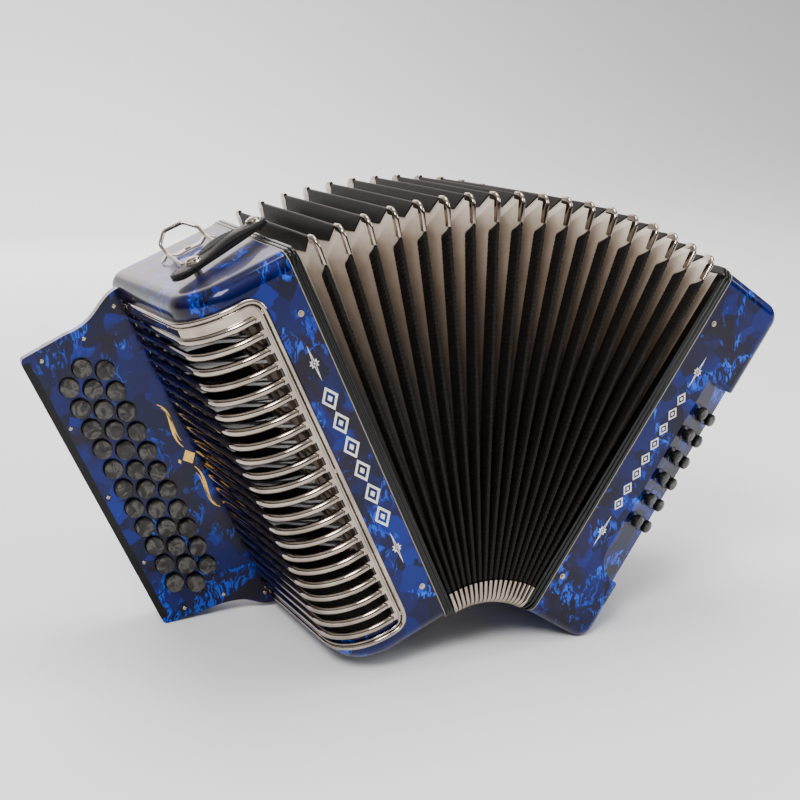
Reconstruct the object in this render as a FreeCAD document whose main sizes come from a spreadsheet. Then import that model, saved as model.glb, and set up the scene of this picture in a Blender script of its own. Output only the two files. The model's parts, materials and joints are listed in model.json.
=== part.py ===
import FreeCAD, Part
import math
import os
import re
from FreeCAD import Placement, Rotation, Vector

# Button accordion, standing half open on its two lower outer corners.
# Three frames are used. The treble frame has its origin at the bellows face of the treble bellows
# frame, at the bottom front corner: +X towards the bellows, +Y to the back, +Z up the casing.
# The bass frame is the same at the bass bellows frame, with +X away from the bellows.
# The row frame stands on the floor: +X towards the bass side, +Y to the back, +Z up.

SIZES = [
    # casings, common to both sides
    ("case_height", 310, "height of both casings"),
    ("case_depth", 190, "front to back of both casings"),
    ("case_wall", 5, "wall of both casings"),
    ("inside_gap", 0.5, "gap round a board that stands in a casing"),
    # treble casing
    ("treble_front", 79.4, "treble casing's width at the front, to its virtual corner"),
    ("treble_back", 94.8, "treble casing's width at the back"),
    ("treble_corner", 38, "radius of the treble casing's front corner"),
    ("treble_rear_corner", 14, "radius of the treble casing's rear corner"),
    ("treble_edge", 12, "radius of the treble casing's top and bottom edges"),
    # bass casing
    ("bass_width", 62, "bass casing's width"),
    ("bass_corner", 13, "radius of the bass casing's outer corners"),
    ("bass_edge", 9, "radius of the bass casing's front and back edges"),
    # bellows frames and folds
    ("treble_frame", 8, "thickness of the treble bellows frame"),
    ("bass_frame", 10, "thickness of the bass bellows frame"),
    ("frame_band", 15, "width of a bellows frame's four sides"),
    ("frame_corner", 10, "corner radius of the bellows frames"),
    ("fold_count", 18, "folds of the bellows"),
    ("fold_pitch", 3.35, "distance between closed folds"),
    ("fold_angle", 3.082, "angle between neighbouring folds as it stands"),
    ("end_pitch", 2, "distance from a bellows frame to the first closed fold"),
    ("end_angle", 2.4, "angle between a bellows frame and the first fold"),
    ("fold_thick", 2.4, "thickness of a fold's taped rim"),
    ("fold_band", 9, "width of a fold's taped rim"),
    ("fold_corner", 6, "corner radius of the folds"),
    ("pleat_depth", 22, "depth of a valley between two folds"),
    ("pleat_board", 1.2, "thickness of the pleat card, measured in a fold's plane"),
    ("pleat_gap", 0.4, "gap between the pleats and the rims and frames"),
    # grille
    ("grille_inset", 26.5, "blue band between the casing's edge and the grille"),
    ("grille_margin", 15, "from the casing's top and bottom to the grille"),
    ("grille_plate", 1.4, "thickness of the grille plate"),
    ("grille_seat", 0.2, "gap behind the grille plate"),
    ("grille_band", 8, "flat border of the grille"),
    ("grille_corner", 14, "corner radius of the grille's border"),
    ("slot_count", 22, "slots of the grille"),
    ("slot_pitch", 12, "distance between slots"),
    ("slot_height", 6.4, "height of a slot"),
    ("slot_top", 270.6, "height of the top slot's lower edge"),
    # fingerboard and key box
    ("board_front", 155, "fingerboard's front face, from the casing's front"),
    ("board_thick", 9, "thickness of the fingerboard"),
    ("board_reach", 181, "fingerboard's outer edge, from the casing's edge"),
    ("board_top", 292, "top of the fingerboard's outer part"),
    ("board_foot", 37, "bottom of the fingerboard's outer corner"),
    ("shoulder_rise", 12, "how far the fingerboard's upper shoulder rises towards the casing"),
    ("box_inset", 14, "key box's sides, in from the fingerboard's outline"),
    ("box_wall", 3, "wall of the key box"),
    ("box_back", 187, "key box's back face, from the casing's front"),
    # treble keys
    ("cap_radius", 6.75, "radius of a treble button"),
    ("cap_height", 7.5, "height of a treble button"),
    ("cap_proud", 5, "how far a treble button stands out of the fingerboard"),
    ("cap_gap", 0.95, "gap round a treble button in its hole"),
    ("stem_radius", 2.2, "radius of a treble button's stem"),
    ("key_pitch", 18.5, "distance between buttons along a row"),
    ("row_outer", 158.5, "outer button row, from the casing's edge"),
    ("row_middle", 143.6, "middle button row, from the casing's edge"),
    ("row_inner", 129, "inner button row, from the casing's edge"),
    ("outer_foot", 67.5, "height of the outer row's lowest button"),
    ("middle_foot", 58.2, "height of the middle row's lowest button"),
    ("inner_foot", 67, "height of the inner row's lowest button"),
    ("lever_shift", 4.8, "how far the outer and inner rows' levers stand off their buttons' middles"),
    ("lever_thick", 2.4, "thickness of a lever"),
    ("lever_width", 3, "width of a lever"),
    ("lever_depth", 170, "levers behind the fingerboard, from the casing's front"),
    ("axle_inset", 81, "key axle, from the casing's edge"),
    ("axle_depth", 160, "key axle, from the casing's front"),
    ("axle_radius", 1.5, "radius of the key axle"),
    ("axle_gap", 0.05, "running clearance of a key on the axle"),
    ("hub_radius", 3.6, "radius of a key's hub"),
    ("pallet_front", 60, "outer row's pallets, from the casing's front"),
    ("pallet_pitch", 30, "distance between the rows of pallets"),
    ("pallet_width", 24, "pallet's size across the row"),
    ("pallet_height", 14, "pallet's size along the row"),
    ("pallet_thick", 5, "thickness of a pallet"),
    ("treble_board", 20, "treble soundboard's bellows side, from the casing's edge"),
    ("soundboard_thick", 5, "thickness of both soundboards"),
    ("block_reach", 12, "how far the reed blocks reach into the bellows"),
    ("block_thick", 14, "thickness of a reed block"),
    ("block_pitch", 34, "distance between reed blocks"),
    ("block_margin", 32, "reed blocks' ends, in from the casing's top and bottom"),
    # bass buttons
    ("scoop_inset", 31, "start of the bass casing's slanted face, from the casing's edge"),
    ("scoop_slope", 22, "slope of the slanted face, in degrees"),
    ("scoop_foot", 54, "bottom of the slanted face"),
    ("scoop_top", 231, "top of the slanted face"),
    ("scoop_radius", 20, "radius of the slanted face's lower inner corner"),
    ("scoop_flare", 9, "radius where the slanted face's ends run out to the casing's side"),
    ("bass_pitch", 20, "distance between bass buttons along a column"),
    ("bass_foot", 105, "height of the lowest bass buttons"),
    ("bass_front_column", 39.4, "front column of bass buttons, from the casing's edge"),
    ("bass_rear_column", 54.4, "rear column of bass buttons, from the casing's edge"),
    ("bass_cap_radius", 5, "radius of a bass button"),
    ("bass_cap_height", 3.6, "height of a bass button's cap"),
    ("bass_cap_lift", 3.4, "gap under a bass button's cap"),
    ("bass_stem_radius", 2.6, "radius of a bass button's stem"),
    ("bass_stem_gap", 0.4, "gap round a bass button's stem"),
    ("bass_stem_length", 16, "stem of a bass button behind the slanted face"),
    ("air_radius", 7, "radius of the air button"),
    ("air_height", 262, "height of the air button"),
    ("air_depth", 40, "air button, from the casing's front"),
    # straps and their fittings on top of the treble casing and on the bass casing
    ("bracket_inset", 34.5, "middle of the strap bracket, from the casing's edge"),
    ("bracket_depth", 133, "strap bracket, from the casing's front"),
    ("bracket_length", 46, "length of the strap bracket"),
    ("bracket_width", 9, "width of the strap bracket"),
    ("bracket_thick", 1.5, "thickness of the strap bracket"),
    ("tunnel_span", 32, "distance between the bracket's two curled ends"),
    ("tunnel_radius", 3.2, "inside radius of a curled end"),
    ("tunnel_length", 7, "length of a curled end"),
    ("ring_wire", 1.5, "radius of the strap ring's wire"),
    ("ring_front", 42, "from the bracket to the ring's front bar"),
    ("strap_length", 94, "length of the bellows strap"),
    ("strap_width", 18, "width of the bellows strap"),
    ("strap_thick", 5, "thickness of the bellows strap"),
    ("strap_lift", 4, "gap under the bellows strap"),
    ("strap_turn", 27.1, "turn of the bellows strap across the casing, in degrees"),
    ("strap_inset", 67, "closed end of the bellows strap, from the casing's edge"),
    ("strap_depth", 47, "closed end of the bellows strap, from the casing's front"),
    ("hand_strap_width", 55, "width of the hand strap"),
    ("hand_strap_thick", 3, "thickness of the hand strap"),
    ("hand_strap_foot", 45, "lower end of the hand strap"),
    ("hand_strap_length", 220, "length of the hand strap's span"),
    ("hand_strap_bow", 26, "how far the hand strap stands off the casing"),
    ("hand_strap_depth", 68, "front edge of the hand strap, from the casing's front"),
    # fasteners
    ("screw_head", 1.8, "radius of a screw's head"),
    ("screw_rise", 1.2, "height of a screw's head"),
    ("screw_shank", 1.2, "radius of a screw's shank"),
    ("screw_length", 5, "length of a screw's shank"),
    ("pin_head", 2.3, "radius of a bellows pin's collar"),
    ("pin_collar", 0.8, "thickness of a bellows pin's collar"),
    ("pin_rise", 1.4, "height of a bellows pin's head"),
    ("treble_pin_inset", 7, "treble bellows pins, from the casing's edge"),
    ("bass_pin_inset", 6, "bass bellows pins, from the casing's edge"),
]

NAMES = {name for name, _, _ in SIZES}
doc = FreeCAD.newDocument("button_accordion")
sheet = doc.addObject("Spreadsheet::Sheet", "dims")
for line, (name, value, note) in enumerate(SIZES, start=1):
    sheet.set(f"A{line}", note)
    sheet.set(f"B{line}", str(value))
    sheet.setAlias(f"B{line}", name)
doc.recompute()
parts = {}


def size(name):
    return float(sheet.get(name))


def formula(text):
    """Write the sheet's name in front of each of its sizes."""
    return re.sub(r"[a-z_]+", lambda w: "dims." + w[0] if w[0] in NAMES else w[0], str(text))


def seat(thing, corner, rotation=None):
    """Place an object, with each coordinate bound to the sheet."""
    if rotation is not None:
        thing.Placement = Placement(Vector(), rotation)
    for axis, text in zip("xyz", corner):
        thing.setExpression(f"Placement.Base.{axis}", formula(text))
    return thing


def make(kind, name, corner, rotation=None, **lengths):
    thing = doc.addObject(f"Part::{kind}", name)
    for prop, text in lengths.items():
        thing.setExpression(prop, formula(text))
    return seat(thing, corner, rotation)


def box(name, corner, length, width, height, rotation=None):
    return make("Box", name, corner, rotation, Length=length, Width=width, Height=height)


def rod(name, start, radius, length, direction=Vector(0, 0, 1)):
    turn = Rotation(Vector(0, 0, 1), direction)
    return make("Cylinder", name, start, turn, Radius=radius, Height=length)


def fuse(name, things):
    joined = doc.addObject("Part::MultiFuse", name)
    joined.Shapes = things
    return joined


def group(name, things):
    """Separate solids that stay separate."""
    lot = doc.addObject("Part::Compound", name)
    lot.Links = things
    return lot


def cut(name, base, tools):
    piece = doc.addObject("Part::Cut", name)
    piece.Base = base
    piece.Tool = tools[0] if len(tools) == 1 else fuse(name + "_tools", tools)
    return piece


def common(name, base, tool):
    piece = doc.addObject("Part::Common", name)
    piece.Base, piece.Tool = base, tool
    return piece


def feature(name, shape):
    thing = doc.addObject("Part::Feature", name)
    thing.Shape = shape
    return thing


def fillet(name, base, radius, wanted):
    """Round the edges of base for which wanted(edge) is true."""
    doc.recompute()
    rounded = doc.addObject("Part::Fillet", name)
    rounded.Base = base
    numbers = [n for n, edge in enumerate(base.Shape.Edges, start=1) if wanted(edge)]
    rounded.Edges = [(n, radius, radius) for n in numbers]
    return rounded


def runs_along(edge, axis):
    a, b = edge.Vertexes[0].Point, edge.Vertexes[-1].Point
    return (b - a).Length > 1e-6 and abs((b - a).normalize().dot(axis)) > 0.999


def keep(node, thing, side):
    """Name a finished sub-part, and note the frame it is made in."""
    thing.Label = node
    parts[node] = (thing, side)
    return thing


X, Y, Z = Vector(1, 0, 0), Vector(0, 1, 0), Vector(0, 0, 1)
TREBLE_EDGE = "-treble_frame"
BASS_EDGE = "bass_frame"


# ---------------------------------------------------------------- the bellows' fan

def gaps():
    """Pitch and angle of each gap, from the treble frame to the bass frame."""
    end = (size("end_pitch"), size("end_angle"))
    inner = (size("fold_pitch"), size("fold_angle"))
    return [end] + [inner] * (int(size("fold_count")) - 1) + [end]


def fan():
    """Frames of the treble frame's face, each fold and the bass frame's face, as it stands."""
    frames, base, angle = [Placement()], Vector(), 0.0
    for pitch, turn in gaps():
        middle = math.radians(angle + turn / 2)
        base = base + Vector(math.cos(middle), 0, -math.sin(middle)) * pitch
        angle += turn
        frames.append(Placement(base, Rotation(Y, angle)))
    return frames


FAN = fan()
RIGID_FOLDS = {"a": 5, "b": 9, "c": 14}


# ---------------------------------------------------------------- casings

def treble_prism(name, grow, low, tall):
    """The treble casing's plan, grown by some distance, as an upright prism."""
    grown = f"({grow})"
    prism = make("Wedge", name + "_wedge", (TREBLE_EDGE, 0, low),
                 Xmin=f"-treble_front - {grown}", Xmax=0, Ymin=f"-{grown}", Ymax=f"case_depth + {grown}",
                 Zmin=0, Zmax=tall, X2min=f"-treble_back - {grown}", X2max=0, Z2min=0, Z2max=tall)
    doc.recompute()
    extra = 0.5 * (prism.Shape.BoundBox.YLength - size("case_depth"))
    front = fillet(name + "_front", prism, size("treble_corner") + extra,
                   lambda e: runs_along(e, Z) and e.BoundBox.XMax < -50 and e.BoundBox.YMax < 60)
    return fillet(name, front, size("treble_rear_corner") + extra,
                  lambda e: runs_along(e, Z) and e.BoundBox.XMax < -50 and e.BoundBox.YMin > 120)


def grille_zone(name, margin):
    """The block of space that holds the grille, less a border, with round corners on both faces."""
    left, low = "-treble_frame - 2 * treble_back", f"grille_margin + {margin}"
    tall = f"case_height - 2 * grille_margin - 2 * ({margin})"
    corner = size("grille_corner") - (size(margin) if margin in NAMES else 0)
    front = box(name + "_across", (left, "-20", low), f"2 * treble_back - grille_inset - {margin}",
                "2 * board_front", tall)
    front = fillet(name + "_front", front, corner,
                   lambda e: runs_along(e, Y) and e.BoundBox.XMin > -size("treble_back"))
    side = box(name + "_deep", (left, "-20", low), "2 * treble_back", f"board_front + 20 - {margin}", tall)
    side = fillet(name + "_side", side, corner, lambda e: runs_along(e, X) and e.BoundBox.YMin > 0)
    return common(name, front, side)


def screw_places():
    """Point and outward direction of each screw in the grille, in the treble frame."""
    edge, margin = -size("treble_frame"), size("grille_margin")
    band = size("grille_band")
    low, high = margin + band / 2 + 5, size("case_height") - margin - band / 2 - 5
    places = [(Vector(edge - size("grille_inset") - band / 2, 0, z), -Y)
              for z in (low + 4, size("case_height") / 2, high - 4)]
    slant = (size("treble_back") - size("treble_front")) / size("case_depth")
    outward = Vector(-1, -slant, 0).normalize()
    for y in (size("treble_corner") + 8, size("board_front") - band / 2 - 4):
        at = Vector(edge - size("treble_front") - slant * y, y, 0)
        places += [(at + Z * (low - 4), outward), (at + Z * (high + 4), outward)]
    return places


def screw(name, at, outward, rise=0.0):
    """One screw: domed head on a surface that stands rise above at, and its shank."""
    head = Part.makeCylinder(size("screw_head"), size("screw_rise"), at + outward * rise, outward)
    head = head.makeFillet(0.8 * size("screw_rise"), [max(head.Edges, key=lambda e: (e.CenterOfMass - at).dot(outward))])
    slot = Part.makeBox(2 * size("screw_head") + 2, 0.6, 0.6)
    slot.translate(Vector(-size("screw_head") - 1, -0.3, -0.3))
    slot.Placement = Placement(at + outward * (rise + size("screw_rise")), Rotation(Z, outward)) * slot.Placement
    return feature(name, head.cut(slot).fuse(shank(at, outward, rise)))


def shank(at, outward, rise=0.0):
    return Part.makeCylinder(size("screw_shank"), size("screw_length") + rise, at + outward * rise, -outward)


def pin_places(side):
    """Bellows pins of one side, front and back: where they sit, and which way they point."""
    height = size("case_height")
    x = -size("treble_frame") - size("treble_pin_inset") if side == "treble" \
        else size("bass_frame") + size("bass_pin_inset")
    return [(Vector(x, y, share * height), out)
            for y, out in ((0, -Y), (size("case_depth"), Y)) for share in (0.12, 0.865)]


def treble_casing():
    outer = treble_prism("treble_outer", "0", "0", "case_height")
    rounded = fillet("treble_rounded", outer, size("treble_edge"),
                     lambda e: e.BoundBox.ZLength < 1e-3 and e.BoundBox.XMin < -size("treble_frame") - 1e-3)
    inner = treble_prism("treble_inner", "-case_wall", "case_wall", "case_height - 2 * case_wall")
    slot = box("lever_slot", ("-treble_frame - treble_back - 10", "board_front + board_thick - 2", "board_foot"),
               "treble_front / 2", "box_back - board_front - board_thick - box_wall",
               "board_top - board_foot - box_inset")
    window = grille_zone("treble_window", "grille_band")
    drill = feature("casing_drill", Part.makeCompound([shank(*p) for p in screw_places()]
                    + [shank(*p) for p in pin_places("treble")]))
    keep("treble_casing", cut("treble_casing_solid", rounded, [inner, slot, window, drill]), "treble")


def treble_grille():
    outer = treble_prism("grille_outer", "grille_seat + grille_plate", "grille_margin",
                         "case_height - 2 * grille_margin")
    inner = treble_prism("grille_inner", "grille_seat", "0", "case_height")
    band = cut("grille_band_plate", outer, [inner])
    plate = common("grille_cover", band, grille_zone("grille_limits", "0"))
    slots = [box(f"grille_slot_{n}", ("-treble_frame - 2 * treble_back", "-20", f"slot_top - {n} * slot_pitch"),
                 "2 * treble_back - grille_inset - grille_band", "board_front + 21", "slot_height")
             for n in range(int(size("slot_count")))]
    proud = size("grille_seat") + size("grille_plate")
    seats = [Part.makeCylinder(size("screw_head") + 0.1, 2, at + out * proud, out) for at, out in screw_places()]
    drill = feature("grille_drill", Part.makeCompound([shank(*p, proud) for p in screw_places()] + seats))
    keep("treble_grille", cut("treble_grille_plate", plate, slots + [drill]), "treble")


def bellows_frame(node, side, start, thick):
    rim = box(node + "_rim", (start, 0, 0), thick, "case_depth", "case_height")
    rim = fillet(node + "_round", rim, size("frame_corner"), lambda e: runs_along(e, X))
    mouth = box(node + "_mouth", (f"{start} - 1", "frame_band", "frame_band"), f"{thick} + 2",
                "case_depth - 2 * frame_band", "case_height - 2 * frame_band")
    keep(node, cut(node + "_ring", rim, [mouth]), side)


def soundboard(node, side, start, holes):
    gap = "(case_wall + inside_gap)"
    board = box(node + "_board", (start, gap, gap), "soundboard_thick", f"case_depth - 2 * {gap}",
                f"case_height - 2 * {gap}")
    keep(node, cut(node + "_drilled", board, holes), side)


def reed_blocks(node, side, start, reach):
    """Four wooden blocks that carry the reeds, standing on the bellows side of a soundboard."""
    blocks = [box(f"{node}_{n}", (start, f"case_depth / 2 + {n - 1.5} * block_pitch - block_thick / 2",
                                 "block_margin"), reach, "block_thick", "case_height - 2 * block_margin")
              for n in range(4)]
    keep(node, group(node + "_set", blocks), side)


# ---------------------------------------------------------------- treble keys and fingerboard

ROWS = {"outer": (11, -1, 0), "middle": (12, 0, 1), "inner": (11, 1, 2)}


def key_list():
    """Name, row, height of each treble key's button, from the top down, row by row."""
    keys = []
    for row, (count, _, _) in ROWS.items():
        for step in reversed(range(count)):
            keys.append((row, f"({row}_foot + {step} * key_pitch)"))
    return [(f"treble_key_{n:02d}", row, height) for n, (row, height) in enumerate(keys, start=1)]


def lever(points, width):
    """Outline of a strip of one width that follows points in the XY plane."""
    left, right = [], []
    for n, point in enumerate(points):
        before = (point - points[n - 1]).normalize() if n else None
        after = (points[n + 1] - point).normalize() if n + 1 < len(points) else None
        along = (before or after) + (after or before)
        across = Vector(-along.y, along.x, 0).normalize()
        reference = before or after
        half = width / 2 / across.dot(Vector(-reference.y, reference.x, 0))
        left.append(point + across * half)
        right.append(point - across * half)
    return Part.Face(Part.makePolygon(left + right[::-1] + [left[0]]))


def treble_key(node, row, height):
    """A button, its stem, the cranked lever it sits on, the lever's hub and the pallet."""
    _, side, rank = ROWS[row]
    edge = -size("treble_frame")
    lever_base = f"{height} + {side} * lever_shift - lever_thick / 2"
    cap_at = f"-treble_frame - row_{row}"
    cap = rod(node + "_cap", (cap_at, "board_front - cap_proud", height), "cap_radius", "cap_height", Y)
    stem = rod(node + "_stem", (cap_at, "board_front", height), "stem_radius", "lever_depth - board_front", Y)
    foot = box(node + "_foot", (f"{cap_at} - stem_radius", "lever_depth - 2",
                               f"{height} - {'lever_shift' if side < 0 else 'stem_radius'}"),
               "2 * stem_radius", "2", f"{'lever_shift' if side else 'stem_radius'} + stem_radius")
    hub = rod(node + "_hub", ("-treble_frame - axle_inset", "axle_depth", lever_base), "hub_radius", "lever_thick")
    bore = rod(node + "_bore", ("-treble_frame - axle_inset", "axle_depth", f"{lever_base} - 1"),
               "axle_radius + axle_gap", "lever_thick + 2")
    pallet_y = f"pallet_front + {rank} * pallet_pitch"
    pallet = box(node + "_pallet",
                 ("-treble_frame - treble_board - soundboard_thick - pallet_thick",
                  f"{pallet_y} - pallet_width / 2", f"{height} - pallet_height / 2"),
                 "pallet_thick", "pallet_width", "pallet_height")
    hub_at = Vector(edge - size("axle_inset"), size("axle_depth"), 0)
    back = size("treble_board") + size("soundboard_thick") + size("pallet_thick") - 1
    path = [Vector(edge - size("row_" + row) - size("stem_radius"), size("lever_depth"), 0),
            Vector(hub_at.x - 12, size("lever_depth"), 0), hub_at,
            Vector(edge - back, size("pallet_front") + rank * size("pallet_pitch"), 0)]
    arm = feature(node + "_arm", lever(path, size("lever_width")).extrude(Z * size("lever_thick")))
    seat(arm, (0, 0, lever_base))
    whole = fuse(node + "_whole", [cap, stem, foot, hub, pallet, arm])
    keep(node, cut(node + "_key", whole, [bore]), "treble")


def board_outline():
    """Face of the fingerboard: two S-shaped shoulders run into a nearly straight outer part."""
    edge = -size("treble_frame")
    inner = edge - size("treble_front") - (size("treble_back") - size("treble_front")) \
        * size("board_front") / size("case_depth")
    outer = edge - size("board_reach")
    top, foot, rise = size("board_top"), size("board_foot"), size("shoulder_rise")

    def at(x, z):
        return Vector(x, size("board_front"), z)

    upper = [at(inner, top + rise), at(inner - 13, top + rise - 3), at(inner - 28, top + 1),
             at(inner - 34, top - 1), at(inner - 50, top - 2)]
    lower = [at(inner, foot - 32), at(inner - 10, foot - 28), at(inner - 23, foot - 16),
             at(inner - 31, foot - 12), at(inner - 50, foot - 7)]
    corners = [at(outer, top - 4), at(outer, foot + 1)]
    curve_up, curve_low = Part.BSplineCurve(), Part.BSplineCurve()
    curve_up.interpolate(upper)
    curve_low.interpolate(lower)
    edges = [curve_up.toShape(), Part.makeLine(upper[-1], corners[0]), Part.makeLine(corners[0], corners[1]),
             Part.makeLine(corners[1], lower[-1]), curve_low.toShape(), Part.makeLine(lower[0], upper[0])]
    return Part.Face(Part.Wire(Part.__sortEdges__(edges)))


def board_screws():
    """Where the fingerboard's screws sit, round its edge."""
    edge = -size("treble_frame")
    top, foot, reach = size("board_top"), size("board_foot"), size("board_reach")
    left = edge - reach + 9
    spots = [(edge - 101, top + 1), (edge - 132, top - 11), (left + 5, top - 12),
             (edge - 161, foot + 5), (edge - 128, foot - 2), (edge - 97, foot - 20)]
    spots += [(left, foot + share * (top - foot)) for share in (0.23, 0.48, 0.73)]
    return [(Vector(x, size("board_front"), z), -Y) for x, z in spots]


def fingerboard():
    slab = feature("board_slab", board_outline().extrude(Y * size("board_thick")))
    doc.recompute()
    slab = fillet("board_rounded", slab, 4.0, lambda e: runs_along(e, Y)
                  and e.BoundBox.XMax < -size("board_reach"))
    holes = [rod(node + "_hole", (f"-treble_frame - row_{row}", "board_front - 1", height),
                 "cap_radius + cap_gap", "board_thick + 2", Y) for node, row, height in key_list()]
    drill = feature("board_drill", Part.makeCompound([shank(*p) for p in board_screws()]))
    casing = treble_prism("board_casing", "0", "0", "case_height")
    keep("fingerboard", cut("fingerboard_plate", slab, holes + [drill, casing]), "treble")


def key_box():
    """A tray behind the fingerboard that covers the levers."""
    front = "board_front + board_thick"
    outer = f"-treble_frame - board_reach + box_inset"
    length = "board_reach - box_inset - treble_back - 1"
    shell = box("tray_outer", (outer, front, "board_foot - 8"), length, f"box_back - ({front})",
                "board_top - board_foot")
    shell = fillet("tray_rounded", shell, 8, lambda e: runs_along(e, Y) and e.BoundBox.XMax < -150)
    hollow = box("tray_hollow", (f"{outer} + box_wall", f"{front} - 1", "board_foot - 8 + box_wall"),
                 f"{length}", f"box_back - ({front}) + 1 - box_wall", "board_top - board_foot - 2 * box_wall")
    keep("key_box", cut("key_box_tray", shell, [hollow]), "treble")


def key_axle():
    axle = rod("axle_rod", ("-treble_frame - axle_inset", "axle_depth", "case_wall"), "axle_radius",
               "case_height - 2 * case_wall")
    keep("key_axle", group("axle", [axle]), "treble")


# ---------------------------------------------------------------- bellows

def fold_rim(letter):
    """The taped rim of one fold, with its metal corners."""
    node = f"bellows_fold_{letter}"
    rim = box(node + "_rim", ("-fold_thick / 2", 0, 0), "fold_thick", "case_depth", "case_height")
    rim = fillet(node + "_round", rim, size("fold_corner"), lambda e: runs_along(e, X))
    mouth = box(node + "_mouth", ("-fold_thick", "fold_band", "fold_band"), "2 * fold_thick",
                "case_depth - 2 * fold_band", "case_height - 2 * fold_band")
    keep(node, cut(node + "_ring", rim, [mouth]), letter)


def pleat_ring(frame, shift, inset):
    """Four corners of the bellows card in one plane of the fan."""
    low, deep, high = inset, size("case_depth") - inset, size("case_height") - inset
    return [frame.multVec(Vector(shift, y, z)) for y, z in ((low, low), (deep, low), (deep, high), (low, high))]


def bellows_pleats():
    """The folded card of the whole bellows, one closed skin of triangles."""
    rigid, card, clear = set(RIGID_FOLDS.values()), size("pleat_board"), size("pleat_gap")
    last = len(FAN) - 1
    outer, inner = [], []
    for n, frame in enumerate(FAN):
        inset = size("fold_band") + clear if n in rigid else clear
        shift = clear if n == 0 else -clear if n == last else 0
        planes = [(frame, shift, size("frame_band") / 2 if n in (0, last) else inset)]
        if n < last:
            ahead = FAN[n + 1]
            half = Placement((frame.Base + ahead.Base) * 0.5, Rotation(frame.Rotation.multiply(Rotation()))
                             .slerp(ahead.Rotation, 0.5))
            planes.append((half, 0, size("pleat_depth")))
        for plane, move, deep in planes:
            outer.append(pleat_ring(plane, move, deep))
            inner.append(pleat_ring(plane, move, deep + card))
    faces = []

    def strip(a, b):
        for n in range(4):
            m = (n + 1) % 4
            faces.append(Part.Face(Part.makePolygon([a[n], a[m], b[m], a[n]])))
            faces.append(Part.Face(Part.makePolygon([a[n], b[m], b[n], a[n]])))

    for skin in (outer, inner):
        for a, b in zip(skin, skin[1:]):
            strip(a, b)
    strip(outer[0], inner[0])
    strip(outer[-1], inner[-1])
    card_solid = Part.Solid(Part.Shell(faces))
    if card_solid.Volume < 0:
        card_solid.reverse()
    keep("bellows_pleats", feature("pleat_card", card_solid), "treble")


# ---------------------------------------------------------------- bass side

def scoop_outline(more):
    """Front view of the space in front of the slanted face, grown into the casing by some distance."""
    inner, outer = size("bass_frame") + size("scoop_inset"), size("bass_frame") + size("bass_width")
    flare, bend = size("scoop_flare"), size("scoop_radius")
    low, high = size("scoop_foot"), size("scoop_top")
    diagonal = math.sqrt(0.5)

    def at(x, z):
        return Vector(x, -40, z)

    def arc(centre, radius, start, across, end):
        """Quarter circle given by its centre and the signs of its three points."""
        return Part.Arc(*[centre + Vector(x, 0, z) * radius for x, z in (start, across, end)]).toShape()

    top = arc(at(outer - flare, high + flare), flare - more, (0, -1), (diagonal, -diagonal), (1, 0))
    foot = arc(at(outer - flare, low - flare), flare - more, (1, 0), (diagonal, diagonal), (0, 1))
    corner = arc(at(inner + bend, low + bend), bend + more, (0, -1), (-diagonal, -diagonal), (-1, 0))
    far = 2 * outer
    lines = [(at(inner - more, high + more), at(outer - flare, high + more)),
             (at(outer - more, high + flare), at(far, high + flare)), (at(far, high + flare), at(far, low - flare)),
             (at(far, low - flare), at(outer - more, low - flare)),
             (at(outer - flare, low - more), at(inner + bend, low - more)),
             (at(inner - more, low + bend), at(inner - more, high + more))]
    edges = [top, foot, corner] + [Part.makeLine(*ends) for ends in lines]
    return Part.Face(Part.Wire(Part.__sortEdges__(edges)))


def scoop(name, more):
    """The space in front of the slanted face of the bass buttons, grown into the casing."""
    slope = Rotation(Z, size("scoop_slope"))
    shift = slope.multVec(Vector(-more, more - 40, 0))
    space = box(name + "_space", (f"bass_frame + scoop_inset + {shift.x}", shift.y, "scoop_foot - scoop_flare"),
                "bass_width", "40", "scoop_top - scoop_foot + 2 * scoop_flare", slope)
    front = feature(name + "_front_view", scoop_outline(more).extrude(Y * 100))
    return common(name, space, front)


def slanted(column, reach):
    """Point at some distance in front of the slanted face, and the face's outward direction."""
    slope = math.radians(size("scoop_slope"))
    outward = Vector(math.sin(slope), -math.cos(slope), 0)
    x = size("bass_frame") + size(column)
    y = (size(column) - size("scoop_inset")) * math.tan(slope)
    return Vector(x, y, 0) + outward * reach, outward


def bass_heights():
    return [size("bass_foot") + n * size("bass_pitch") for n in range(6)]


def bass_casing():
    block = box("bass_block", (BASS_EDGE, 0, 0), "bass_width", "case_depth", "case_height")
    far = size("bass_frame") + size("bass_width")
    block = fillet("bass_cornered", block, size("bass_corner"),
                   lambda e: runs_along(e, Y) and e.BoundBox.XMin > far - 1)
    block = fillet("bass_rounded", block, size("bass_edge"),
                   lambda e: e.BoundBox.YLength < 1e-3 and e.BoundBox.XMax > size("bass_frame") + 1e-3)
    hollow = box("bass_hollow", ("bass_frame - 1", "case_wall", "case_wall"), "bass_width + 1 - case_wall",
                 "case_depth - 2 * case_wall", "case_height - 2 * case_wall")
    hollow = fillet("bass_hollow_round", hollow, size("bass_edge"),
                    lambda e: runs_along(e, Y) and e.BoundBox.XMin > far - 10)
    cavity = cut("bass_cavity", hollow, [scoop("scoop_back", size("case_wall"))])
    holes = [Part.makeCylinder(size("bass_stem_radius") + size("bass_stem_gap"), 30, at + Z * z, -out)
             for column in ("bass_front_column", "bass_rear_column")
             for at, out in [slanted(column, 10)] for z in bass_heights()]
    holes += [shank(*p) for p in pin_places("bass")]
    air = rod("air_hole", ("bass_frame + bass_width - case_wall - 5", "air_depth", "air_height"),
              "bass_stem_radius + bass_stem_gap", "20", X)
    drill = feature("bass_drill", Part.makeCompound(holes))
    keep("bass_casing", cut("bass_casing_shell", block, [cavity, scoop("scoop_front", 0), drill, air]), "bass")


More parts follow.
